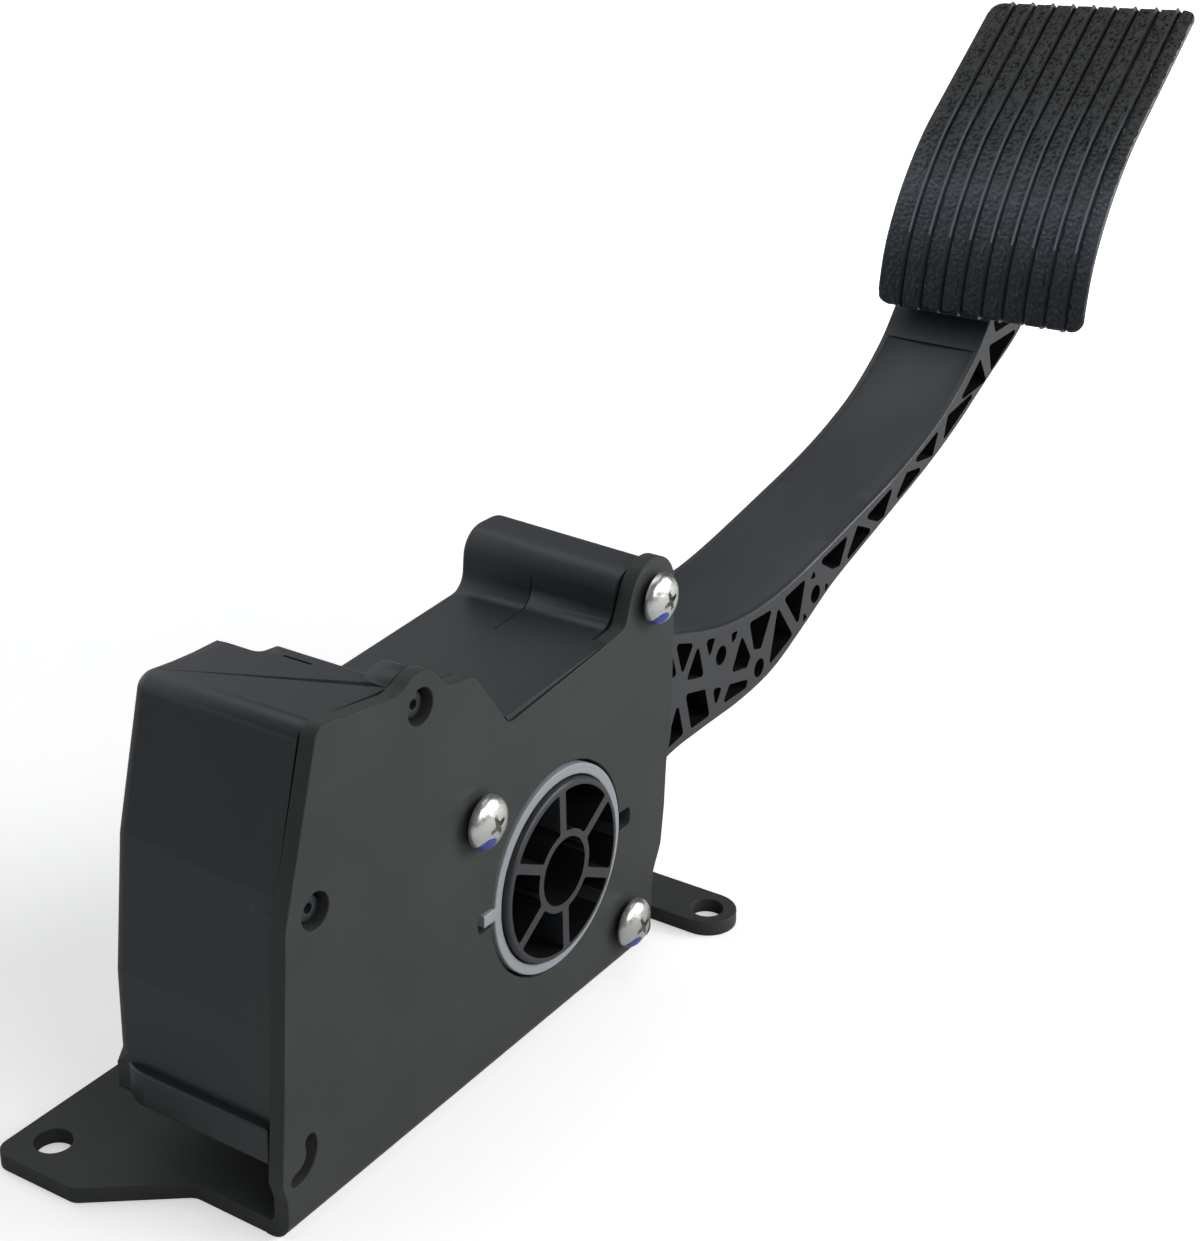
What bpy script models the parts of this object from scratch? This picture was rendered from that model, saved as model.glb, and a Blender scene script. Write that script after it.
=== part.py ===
"""Accelerator pedal of a commercial vehicle, standing on its folded steel bracket.

A steel bracket carries a moulded housing.  A truss-ribbed arm turns on a wide hub in
two plastic bushings, two nested springs push its short lever back to the idle stop,
and a magnet in the hub is read by a sensor under a cover on the far side.

The axes are +X from the hub towards the pad, +Z up, and +Y from the steel side plate
into the housing.  The origin is on the underside of the bracket, straight below the
hub.  Sizes are in millimetres here and become metres where a mesh is made.
"""

import math

import bmesh
import bpy
from mathutils import Matrix, Vector

MM = 0.001
FIT = 0.3            # clearance between pieces that seat on each other
SEAM = 0.06          # a shape joined to a solid ends this far inside the solid's faces

# Arm and hub
ARM_WIDTH = 25.0     # width of the arm along the hub axis
ARM_SIDE_GAP = 3.0   # between the arm and the walls beside it
HUB_Z = 32.5         # height of the hub axis above the floor
HUB_R = 18.0
HUB_PROUD = 1.5      # how far the hub face stands out of the side plate
HUB_RIM = 2.0
HUB_BORE_R = 6.55
HUB_BORE_WALL = 1.4
SPOKE_WIDTH = 1.9
SPOKE_COUNT = 6
SPOKE_START = 33.0   # degrees from +X
JOURNAL_R = 9.0      # far end of the hub
ARM_WEB = 2.0        # thickness of the web between the pockets of both sides
ARM_FLANGE = 1.4     # from the arm's outer edge to the line of the truss nodes
RIB_WIDTH = 1.8
POCKET_CORNER = 0.8
PIN_BOSS_R = 3.3     # round bosses in the truss
PIN_HOLE_R = 2.05
PIN_HOLE_DEPTH = 6.0
DISH_DEPTH = 1.2     # hollow in the top of the arm
DISH_RIM = 1.3
PANEL_X = 185.6      # the hollow ends here in a small step
LEVER_WIDTH = 18.0

# Bracket
PLATE_T = 3.0
BEND_R = 4.0         # outer radius of the fold
BASE_T = PLATE_T
FOOT_HOLE_R = 3.25
TAB_R = 5.9          # round end of the front foot
SCREW_CLEAR_R = 2.75
POST_HOLE_R = 3.2

# Housing
WALL = 2.5
FAR_GAP = 3.5        # between the arm and the far wall
SCREW_BOSS_R = 4.6
SCREW_SHANK_R = 2.4
SCREW_HEAD_R = 5.1
SCREW_HEAD_H = 3.4
SCREW_LENGTH = 16.0

# Bushings
BUSH_WALL = 1.1
BUSH_LENGTH = 5.4
FAR_BUSH_WALL = 0.8

# Springs
SPRING_X = -52.0
OUTER_COIL_R = 8.2
OUTER_WIRE_R = 0.9
OUTER_TURNS = 6
INNER_COIL_R = 5.4
INNER_WIRE_R = 0.7
INNER_TURNS = 8
SEAT_R = 9.3
SEAT_T = 2.0
SPIGOT_R = 4.2

# Sensor
MAGNET_R = 5.7
MAGNET_T = 2.5
BOARD_T = 1.6
BOARD_W = 34.0
BOARD_Z = (20.5, 51.0)
COVER_WALL = 2.0
COVER_DEPTH = 9.5
COVER_FLANGE_T = 2.2
GASKET_T = 0.9
PIN_SIDE = 0.64
PIN_PITCH = 3.2
PIN_COUNT = 6

# Pad
PAD_WIDTH = 52.0
PAD_Y = -11.5        # middle of the pad
PAD_T = 4.5
PAD_RIBS = 9
PAD_RIB_W = 0.9
PAD_RIB_H = 0.45
PAD_GROOVE_W = 1.1
PAD_GROOVE_D = 0.6
PAD_CORNER = 4.0
CARRIER_T = 3.0
CARRIER_INSET = 2.5

# Planes along the hub axis
ARM_NEAR = -ARM_WIDTH / 2
ARM_FAR = ARM_WIDTH / 2
PLATE_IN = ARM_NEAR - ARM_SIDE_GAP
PLATE_OUT = PLATE_IN - PLATE_T
HOUSING_NEAR = PLATE_IN + FIT
FAR_IN = ARM_FAR + FAR_GAP
FAR_OUT = FAR_IN + WALL
HUB_FACE = PLATE_OUT - HUB_PROUD
BUSH_IN_R = HUB_R + FIT
BUSH_OUT_R = BUSH_IN_R + BUSH_WALL
HUB_HOLE_R = BUSH_OUT_R + FIT
NOTCH_REACH = 3.4    # bushing ears lie in two notches of the hub hole
NOTCH_HALF = 1.9

# Screws through the plate: x, z
SCREWS = {"screw_top": (30.1, 75.0), "screw_middle": (-23.6, 53.4), "screw_lower": (23.4, 9.9)}
POSTS = {"a": (-38.7, 80.4), "b": (-65.6, 56.7)}

# Edges of the arm in the x, z plane, from the hub to the pad
UPPER_CHORD = [(-9.0, 47.0), (2.0, 54.5), (14.0, 60.5), (26.0, 63.0), (37.0, 62.3), (48.7, 59.0),
               (62.8, 54.9), (75.2, 52.8), (87.9, 52.6), (101.0, 54.1), (121.6, 58.0), (143.4, 62.6),
               (158.3, 67.0), (170.6, 72.2), (182.6, 80.2), (191.0, 89.0)]
LOWER_CHORD = [(6.0, 16.2), (20.0, 22.5), (35.0, 29.5), (47.7, 33.0), (60.0, 33.6), (76.0, 33.8),
               (89.5, 35.7), (102.5, 40.8), (115.8, 46.6), (137.0, 53.0), (159.5, 59.8), (175.1, 65.6),
               (190.8, 73.0), (208.0, 81.0), (219.0, 91.0), (226.0, 103.0), (229.5, 117.0), (228.0, 130.0)]
# Truss nodes: where the ribs meet the two edges, as steps outwards from the first one, and
# between the edges near the hub.  Each pocket is named by the nodes round it.
UPPER_NODES = {"u16": 17.0, "u15": 14.0, "u14": 17.0, "u13": 11.2, "u12": 17.4, "u10": 13.8, "u8": 14.6, "u6": 21.2,
               "u4": 22.0, "u2": 23.2, "u1": 16.4}
LOWER_NODES = {"l16": 22.0, "l15": 14.0, "l13": 8.8, "l14": 9.8, "l12": 11.2, "l11": 19.2, "l9": 13.8, "l7": 18.4, "l5": 23.0,
               "l3": 25.0, "l1": 26.0}
MID_NODES = {"m0": (79.4, 40.4), "m1": (70.2, 41.0), "m2": (61.8, 43.4), "m3": (50.8, 46.4),
             "m4": (35.6, 48.2), "m5": (22.6, 46.6)}
POCKETS = [("u1", "u2", "l1"), ("u2", "l3", "l1"), ("u2", "u4", "l3"), ("u4", "l5", "l3"),
           ("u4", "u6", "l5"), ("u6", "l7", "l5"), ("u6", "u8", "l7"), ("u8", "l9", "l7"),
           ("u8", "u10", "l9"), ("u10", "l11", "l9"), ("u10", "u12", "l11"), ("u12", "m0", "l11"),
           ("u12", "m1", "m0"), ("u12", "u13", "m1"), ("u13", "m2", "m1"), ("u13", "m3", "m2"),
           ("u13", "u14", "m3"), ("u14", "m4", "m3"), ("u14", "u15", "m4"), ("u15", "m5", "m4"),
           ("u15", "u16", "m5"), ("m0", "m1", "l12"), ("m1", "m2", "l12"), ("m2", "m3", "l14", "l12"),
           ("m3", "l13", "l14"), ("m3", "m4", "l15", "l13"), ("m4", "m5", "l16", "l15"),
           ("m0", "l12", "l11")]
PAD_POCKETS = [[(189.8, 81.8), (208.2, 82.0), (192.6, 74.9)],
               [(191.8, 86.8), (193.4, 84.2), (206.4, 84.6), (199.4, 95.0)],
               [(201.5, 97.0), (209.0, 86.4), (216.4, 93.4), (208.0, 108.4)],
               [(210.0, 111.4), (218.4, 96.6), (223.2, 105.6), (219.4, 119.6)]]
PIN_BOSSES = [(67.0, 47.5), (83.2, 38.5), (107.1, 46.8)]

# Front face of the pad in the x, z plane, from its foot to its top
PAD_FACE = [(184.2, 86.5), (183.6, 92.0), (185.4, 102.0), (189.2, 110.5), (195.0, 119.0),
            (203.0, 127.5), (214.0, 135.8), (226.0, 144.6), (238.0, 153.4)]

PARTS = bpy.data.collections.new("accelerator_pedal")
CUTTERS = bpy.data.collections.new("cutters")


def clear_scene():
    """Remove every object and hang the two collections in the scene."""
    for obj in list(bpy.data.objects):
        bpy.data.objects.remove(obj, do_unlink=True)
    for collection in (PARTS, CUTTERS):
        bpy.context.scene.collection.children.link(collection)


# Outlines

def arc(cx, cy, radius, start, stop, steps):
    """Points on an arc, angles in degrees, as corners with no fillet."""
    points = []
    for step in range(steps + 1):
        angle = math.radians(start + (stop - start) * step / steps)
        points.append((cx + radius * math.cos(angle), cy + radius * math.sin(angle), 0.0))
    return points


def rounded(corners, step=22.0, least=2):
    """Replace each corner (x, y, radius) by an arc of that radius."""
    points = []
    count = len(corners)
    for index, (x, y, radius) in enumerate(corners):
        here = Vector((x, y))
        before = (Vector(corners[index - 1][:2]) - here)
        after = (Vector(corners[(index + 1) % count][:2]) - here)
        if radius <= 0.0 or before.length < 1e-6 or after.length < 1e-6:
            points.append((x, y))
            continue
        half = before.angle(after) / 2
        if half > math.radians(88.5) or half < math.radians(2.0):
            points.append((x, y))
            continue
        reach = min(radius / math.tan(half), 0.45 * before.length, 0.45 * after.length)
        radius = reach * math.tan(half)
        middle = here + (before.normalized() + after.normalized()).normalized() * (radius / math.sin(half))
        first = here + before.normalized() * reach - middle
        last = here + after.normalized() * reach - middle
        turn = first.angle_signed(last)
        pieces = max(least, int(abs(math.degrees(turn)) / step + 0.5))
        for piece in range(pieces + 1):
            spoke = first.copy()
            spoke.rotate(Matrix.Rotation(-turn * piece / pieces, 2))
            points.append(tuple(middle + spoke))
    return points


def smooth(points, steps=3):
    """A Catmull-Rom curve through the points."""
    nodes = [Vector(point) for point in points]
    nodes = [2 * nodes[0] - nodes[1]] + nodes + [2 * nodes[-1] - nodes[-2]]
    curve = []
    for index in range(1, len(nodes) - 2):
        a, b, c, d = nodes[index - 1:index + 3]
        for step in range(steps):
            t = step / steps
            curve.append(0.5 * (2 * b + (c - a) * t + (2 * a - 5 * b + 4 * c - d) * t * t
                                + (3 * b - a - 3 * c + d) * t ** 3))
    curve.append(nodes[-2])
    return [tuple(point) for point in curve]


def shifted(curve, distance):
    """The curve moved sideways: a positive distance lies to its left."""
    moved = []
    for index, point in enumerate(curve):
        back = Vector(curve[max(index - 1, 0)])
        ahead = Vector(curve[min(index + 1, len(curve) - 1)])
        along = (ahead - back).normalized()
        moved.append((point[0] - along.y * distance, point[1] + along.x * distance))
    return moved


def height_at(curve, x):
    """Height of a curve that runs from left to right, at x."""
    for (x0, z0), (x1, z1) in zip(curve, curve[1:]):
        if x0 <= x <= x1:
            return z0 + (z1 - z0) * (x - x0) / (x1 - x0)
    return curve[-1][1]


def area(points):
    """Signed area of a polygon."""
    total = 0.0
    for (x0, y0), (x1, y1) in zip(points, points[1:] + points[:1]):
        total += x0 * y1 - x1 * y0
    return total / 2


def inset(points, distance):
    """A convex polygon with each edge moved inwards."""
    if area(points) < 0:
        points = points[::-1]
    count = len(points)
    lines = []
    for index in range(count):
        start = Vector(points[index])
        along = (Vector(points[(index + 1) % count]) - start).normalized()
        lines.append((start + Vector((-along.y, along.x)) * distance, along))
    corners = []
    for index in range(count):
        (p, u), (q, v) = lines[index - 1], lines[index]
        cross = u.x * v.y - u.y * v.x
        reach = ((q.x - p.x) * v.y - (q.y - p.y) * v.x) / cross
        corners.append(tuple(p + u * reach))
    return corners


# Solids

def material(name, colour, metallic, roughness):
    """A plain shader with the colour and gloss of the real surface."""
    shader = bpy.data.materials.get(name) or bpy.data.materials.new(name)
    shader.use_nodes = True
    node = shader.node_tree.nodes["Principled BSDF"]
    node.inputs["Base Color"].default_value = (*colour, 1.0)
    node.inputs["Metallic"].default_value = metallic
    node.inputs["Roughness"].default_value = roughness
    return shader


def show(obj, cutter):
    """Put an object in its collection, and hide it from renders if it only cuts."""
    (CUTTERS if cutter else PARTS).objects.link(obj)
    if cutter:
        obj.hide_render = True
        obj.display_type = "WIRE"
    return obj


def plane_matrix(plane, middle):
    """Lay the flat drawing in its plane, with its middle at this place on the third axis."""
    columns = {"XZ": ((1, 0, 0), (0, 0, 1), (0, -1, 0), (0, middle, 0)),
               "XY": ((1, 0, 0), (0, 1, 0), (0, 0, 1), (0, 0, middle)),
               "YZ": ((0, 1, 0), (0, 0, 1), (1, 0, 0), (middle, 0, 0))}[plane]
    matrix = Matrix.Identity(4)
    for index, column in enumerate(columns):
        for row in range(3):
            matrix[row][index] = column[row] * (MM if index == 3 else 1.0)
    return matrix


def slab(name, loops, low, high, plane="XZ", cutter=False):
    """Flat outlines given a thickness, from low to high along the third axis."""
    curve = bpy.data.curves.new(name + "_outline", "CURVE")
    curve.dimensions = "2D"
    curve.fill_mode = "BOTH"
    curve.extrude = (high - low) / 2 * MM
    for loop in loops:
        spline = curve.splines.new("POLY")
        spline.points.add(len(loop) - 1)
        for point, (x, y) in zip(spline.points, loop):
            point.co = (x * MM, y * MM, 0.0, 1.0)
        spline.use_cyclic_u = True
    outline = bpy.data.objects.new(name + "_outline", curve)
    bpy.context.scene.collection.objects.link(outline)
    bpy.context.view_layer.update()
    flat = outline.evaluated_get(bpy.context.evaluated_depsgraph_get())
    mesh = bpy.data.meshes.new_from_object(flat)
    mesh.transform(plane_matrix(plane, (low + high) / 2))
    bpy.data.objects.remove(outline, do_unlink=True)
    return show(bpy.data.objects.new(name, welded(mesh)), cutter)


def welded(mesh):
    """Join a mesh's loose caps to its sides and turn its faces outwards."""
    work = bmesh.new()
    work.from_mesh(mesh)
    bmesh.ops.remove_doubles(work, verts=work.verts, dist=0.005 * MM)
    bmesh.ops.dissolve_limit(work, angle_limit=0.001, verts=work.verts, edges=work.edges)
    bmesh.ops.recalc_face_normals(work, faces=work.faces)
    work.to_mesh(mesh)
    work.free()
    return mesh


def drum(name, radius, low, high, x=0.0, z=0.0, sides=24, top_radius=None, cutter=False):
    """A round bar or cone along Y, from low to high, at x, z."""
    work = bmesh.new()
    end = radius if top_radius is None else top_radius
    bmesh.ops.create_cone(work, cap_ends=True, segments=sides, radius1=radius * MM, radius2=end * MM,
                          depth=(high - low) * MM)
    turn = Matrix.Rotation(math.radians(-90), 4, "X")
    bmesh.ops.transform(work, matrix=turn, verts=work.verts)
    place = Vector((x, (low + high) / 2, z)) * MM
    bmesh.ops.translate(work, vec=place, verts=work.verts)
    mesh = bpy.data.meshes.new(name)
    work.to_mesh(mesh)
    work.free()
    return show(bpy.data.objects.new(name, mesh), cutter)


def upright(name, radius, low, high, x, y, sides=20, cutter=False):
    """A round bar along Z, from low to high, at x, y."""
    work = bmesh.new()
    bmesh.ops.create_cone(work, cap_ends=True, segments=sides, radius1=radius * MM, radius2=radius * MM,
                          depth=(high - low) * MM)
    bmesh.ops.translate(work, vec=Vector((x, y, (low + high) / 2)) * MM, verts=work.verts)
    mesh = bpy.data.meshes.new(name)
    work.to_mesh(mesh)
    work.free()
    return show(bpy.data.objects.new(name, mesh), cutter)


def block(name, low, high, cutter=False):
    """A box between two corners."""
    work = bmesh.new()
    bmesh.ops.create_cube(work, size=1.0)
    size = [(b - a) * MM for a, b in zip(low, high)]
    middle = [(a + b) / 2 * MM for a, b in zip(low, high)]
    bmesh.ops.scale(work, vec=size, verts=work.verts)
    bmesh.ops.translate(work, vec=middle, verts=work.verts)
    mesh = bpy.data.meshes.new(name)
    work.to_mesh(mesh)
    work.free()
    return show(bpy.data.objects.new(name, mesh), cutter)


def turned(name, profile, x, z, cutter=False, sides=18):
    """A turned piece about a line along Y: the profile is (radius, y) down its outer side."""
    mesh = bpy.data.meshes.new(name)
    verts = [(radius * MM, 0.0, y * MM) for radius, y in profile]
    mesh.from_pydata(verts, [(i, i + 1) for i in range(len(verts) - 1)], [])
    obj = bpy.data.objects.new(name, mesh)
    bpy.context.scene.collection.objects.link(obj)
    screw = obj.modifiers.new("turn", "SCREW")
    screw.steps = screw.render_steps = sides
    screw.use_merge_vertices = True
    screw.merge_threshold = 0.00001
    bpy.context.view_layer.update()
    solid = bpy.data.meshes.new_from_object(obj.evaluated_get(bpy.context.evaluated_depsgraph_get()))
    bpy.data.objects.remove(obj, do_unlink=True)
    lay = Matrix.Translation(Vector((x, 0.0, z)) * MM) @ Matrix.Rotation(math.radians(-90), 4, "X")
    solid.transform(lay)
    return show(bpy.data.objects.new(name, welded(solid)), cutter)


def coil(name, radius, wire_radius, turns, low, high, per_turn=10):
    """A compression spring along Z with ground-down, nearly flat end turns."""
    curve = bpy.data.curves.new(name + "_path", "CURVE")
    curve.dimensions = "3D"
    curve.bevel_depth = wire_radius * MM
    curve.bevel_resolution = 1
    curve.use_fill_caps = True
    spline = curve.splines.new("POLY")
    count = turns * per_turn
    spline.points.add(count)
    bottom = low + wire_radius
    top = high - wire_radius
    closed = 0.8 / turns       # share of the wire in each end turn
    flat = 2 * wire_radius * 0.75
    for index, point in enumerate(spline.points):
        t = index / count
        if t < closed:
            z = bottom + flat * t / closed
        elif t > 1 - closed:
            z = top - flat * (1 - t) / closed
        else:
            z = bottom + flat + (top - bottom - 2 * flat) * (t - closed) / (1 - 2 * closed)
        angle = 2 * math.pi * turns * t
        point.co = (radius * math.cos(angle) * MM, radius * math.sin(angle) * MM, z * MM, 1.0)
    obj = bpy.data.objects.new(name + "_path", curve)
    bpy.context.scene.collection.objects.link(obj)
    bpy.context.view_layer.update()
    mesh = bpy.data.meshes.new_from_object(obj.evaluated_get(bpy.context.evaluated_depsgraph_get()))
    bpy.data.objects.remove(obj, do_unlink=True)
    spring = show(bpy.data.objects.new(name, welded(mesh)), False)
    spring.location.x = SPRING_X * MM
    return spring


def combine(target, others, operation, solver="EXACT"):
    """Cut or join with a list of cutters, one modifier each."""
    for other in others:
        step = target.modifiers.new(other.name, "BOOLEAN")
        step.operation = operation
        step.solver = solver
        step.object = other
    return target


def finish(obj, shader, parent=None):
    """Give an object its material and smooth round faces, and hang it on its parent."""
    obj.data.materials.clear()
    obj.data.materials.append(shader)
    obj.data.shade_smooth()
    obj.data.set_sharp_from_angle(angle=math.radians(35))
    if parent is not None:
        obj.parent = parent
        obj.matrix_parent_inverse = parent.matrix_world.inverted()
    return obj


# Bracket

PLATE_LEFT = -75.2
PLATE_RIGHT = 32.6
PLATE_OUTLINE = ([(PLATE_LEFT, BEND_R, 0), (PLATE_LEFT, 8.0, 1.5), (-76.2, 11.5, 2), (-74.7, 28, 12), (-72.6, 56.5, 6),
                  (-70.6, 63, 8), (-63.5, 87.1, 2.4), (-45.0, 84.4, 3)]
                 + arc(-38.7, 80.4, 6.0, 128, 28, 5)
                 + [(-31.2, 81.2, 2.2), (-24.2, 80.0, 4), (-13.6, 66.4, 3.0), (20.9, 71.0, 2.5)]
                 + arc(30.3, 74.7, 7.7, 165, 5, 8)
                 + [(38.3, 44.0, 6), (36.9, 38.5, 4), (36.5, 29.0, 8), (35.6, 21.0, 5), (33.0, 15.8, 4),
                    (PLATE_RIGHT, BEND_R, 0)])


def hub_hole():
    """Outline of the hub hole with a notch at each side for the bushing's ears."""
    half = math.degrees(math.asin(NOTCH_HALF / HUB_HOLE_R))
    reach = HUB_HOLE_R + NOTCH_REACH
    corners = arc(0, HUB_Z, HUB_HOLE_R, half, 180 - half, 16)
    corners += [(-reach, HUB_Z + NOTCH_HALF, 0.8), (-reach, HUB_Z - NOTCH_HALF, 0.8)]
    corners += arc(0, HUB_Z, HUB_HOLE_R, 180 + half, 360 - half, 16)
    corners += [(reach, HUB_Z - NOTCH_HALF, 0.8), (reach, HUB_Z + NOTCH_HALF, 0.8)]
    return rounded(corners, 40)


def round_hole(x, y, radius, sides=16):
    """A round hole as a loop of points."""
    return [point[:2] for point in arc(x, y, radius, 0, 360 - 360 / sides, sides - 1)]


def crescent():
    """The curved slot near the plate's lower corner."""
    cx, cz, middle, half = -73.0, 15.0, 4.1, 1.3
    outer = arc(cx, cz, middle + half, -88, 18, 5)
    inner = arc(cx, cz, middle - half, 18, -88, 5)
    return [point[:2] for point in outer + inner]


FOOT_X, FOOT_Y = -80.1, 28.7
TAB_X = 46.0
TAB_HOLE_Y = PLATE_OUT - 4.9
FLANGE_FAR = 21.5
BASE_OUTLINE = ([(PLATE_LEFT, PLATE_OUT + BEND_R, 0), (PLATE_LEFT, 1.6, 3), (-87.4, 17.0, 2.5),
                 (FOOT_X - 7.6, FOOT_Y + 6.8, 3.2), (-46.0, FOOT_Y + 6.8, 4), (-34.0, FLANGE_FAR, 4),
                 (TAB_X + TAB_R, FLANGE_FAR, 4)]
                + arc(TAB_X, TAB_HOLE_Y, TAB_R, 0, -180, 8)
                + [(TAB_X - TAB_R, PLATE_IN + 3.5, 2), (PLATE_RIGHT + 2.0, PLATE_IN + 3.5, 1.5),
                   (PLATE_RIGHT, PLATE_OUT + BEND_R, 0)])


def make_bracket(steel):
    """One folded sheet: side plate, fold, base flange and its two feet."""
    holes = [hub_hole(), crescent()]
    holes += [round_hole(x, z, SCREW_CLEAR_R) for x, z in SCREWS.values()]
    holes += [round_hole(x, z, POST_HOLE_R) for x, z in POSTS.values()]
    plate = slab("mounting_bracket", [rounded(PLATE_OUTLINE)] + holes, PLATE_OUT, PLATE_IN)
    feet = [round_hole(FOOT_X, FOOT_Y, FOOT_HOLE_R, 20), round_hole(TAB_X, TAB_HOLE_Y, FOOT_HOLE_R, 20)]
    base = slab("bracket_base", [rounded(BASE_OUTLINE)] + feet, 0.0, BASE_T, "XY", cutter=True)
    tail = 0.8
    outer = arc(PLATE_OUT + BEND_R, BEND_R, BEND_R, 180, 270, 6)
    inner = arc(PLATE_OUT + BEND_R, BEND_R, BEND_R - PLATE_T, 270, 180, 4)
    section = ([(PLATE_OUT, BEND_R + tail, 0)] + outer + [(PLATE_OUT + BEND_R + tail, 0.0, 0)]
               + [(PLATE_OUT + BEND_R + tail, BASE_T, 0)] + inner + [(PLATE_IN, BEND_R + tail, 0)])
    fold = slab("bracket_fold", [[point[:2] for point in section]], PLATE_LEFT, PLATE_RIGHT, "YZ", cutter=True)
    combine(plate, [base, fold], "UNION")
    return finish(plate, steel)


# Housing

HOUSE_LEFT = -73.9
LIP_LEFT = -75.5     # a lip runs round the foot of the spring block
LIP_TOP = 20.6
LIP_CORNER = 7.0
FAR_CORNER = 2.6     # rounding of the far face's edges
BLOCK_RIGHT = -39.0
NOTCH_X = -44.5      # the spring block is stepped back here on its far side
NOTCH_Y = 9.5
NOTCH_WALL = 1.8
SADDLE_Z = 67.2
FLOOR_Z = 14.0
HOUSE_TOP = 86.6
BARREL_R = 7.4
HOUSE_RIGHT = 37.6
CEILING_Z = HOUSE_TOP - 1.2 - WALL
SPRING_TOP = CEILING_Z - 1.1    # underside of the ring that the springs push against
HOUSING_OUTLINE = [(HOUSE_LEFT, FLOOR_Z, 0.8), (HOUSE_LEFT, 22.0, 2), (-73.6, 37.0, 10),
                   (-70.6, 61.0, 8), (-63.7, HOUSE_TOP, 2.2), (BLOCK_RIGHT, 84.0, 1.4),
                   (BLOCK_RIGHT, SADDLE_Z - 0.6, 1.2), (21.4, SADDLE_Z + 3.6, 1.2), (22.4, 82.1, BARREL_R),
                   (37.8, 82.1, BARREL_R), (HOUSE_RIGHT, 60.0, 0), (HOUSE_RIGHT, 30.0, 4), (32.9, 17.0, 1.5),
                   (32.4, BASE_T + FIT, 1.5), (16.5, BASE_T + FIT, 1.5), (12.5, 9.2, 3), (-9.0, 9.2, 5),
                   (-18.0, FLOOR_Z, 5)]
CAVITY_OUTLINE = [(HOUSE_LEFT + WALL, FLOOR_Z + WALL, 1.5), (-71.0, 37.0, 8), (-68.1, 61.0, 6),
                  (-61.6, CEILING_Z + 0.5, 2), (BLOCK_RIGHT - WALL, CEILING_Z - 1.0, 2),
                  (BLOCK_RIGHT - WALL, SADDLE_Z - 3.0, 1), (21.0, SADDLE_Z + 1.1 - WALL, 1), (45.0, SADDLE_Z - 1.3, 0),
                  (45.0, 17.0, 0), (28.6, 17.0, 2), (20.0, 14.9, 1), (11.5, 9.2 + WALL, 3), (-8.4, 9.2 + WALL, 4),
                  (-17.2, FLOOR_Z + WALL, 4)]
SHOE_INNER_R = HUB_R + FIT
SHOE_T = 2.3
SHOE_ANGLES = (206.0, 250.0)
SHOE_HALF = 8.0
SEAT_WALL = 3.0
BUMPER_X = -53.0
BUMPER_R = 4.0
BUMPER_H = 4.6
LEVER_LOW = 34.0
LEVER_TOP = 42.0
COVER_X = (-23.0, 23.0)
COVER_Z = (17.0, 54.5)
COVER_SCREWS = [(x, z) for x in COVER_X for z in COVER_Z]
COVER_BOSS_R = 3.6


def ring_sector(inner, outer, start, stop, steps=6):
    """A curved bar about the hub axis."""
    points = arc(0, HUB_Z, outer, start, stop, steps) + arc(0, HUB_Z, inner, stop, start, steps)
    return [point[:2] for point in points]


def round_far_edges(obj, radius, low_z):
    """Round the edges of the far face above a height, away from the sensor."""
    work = bmesh.new()
    work.from_mesh(obj.data)
    far = max(vert.co.y for vert in work.verts)
    edges = []
    for edge in work.edges:
        middle = (edge.verts[0].co + edge.verts[1].co) / 2
        flat = all(abs(vert.co.y - far) < 0.01 * MM for vert in edge.verts)
        if flat and middle.x < NOTCH_X * MM and middle.z > low_z * MM:
            edges.append(edge)
    bmesh.ops.bevel(work, geom=edges, offset=radius * MM, segments=3, profile=0.5, affect="EDGES",
                    clamp_overlap=False)
    work.to_mesh(obj.data)
    work.free()


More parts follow.
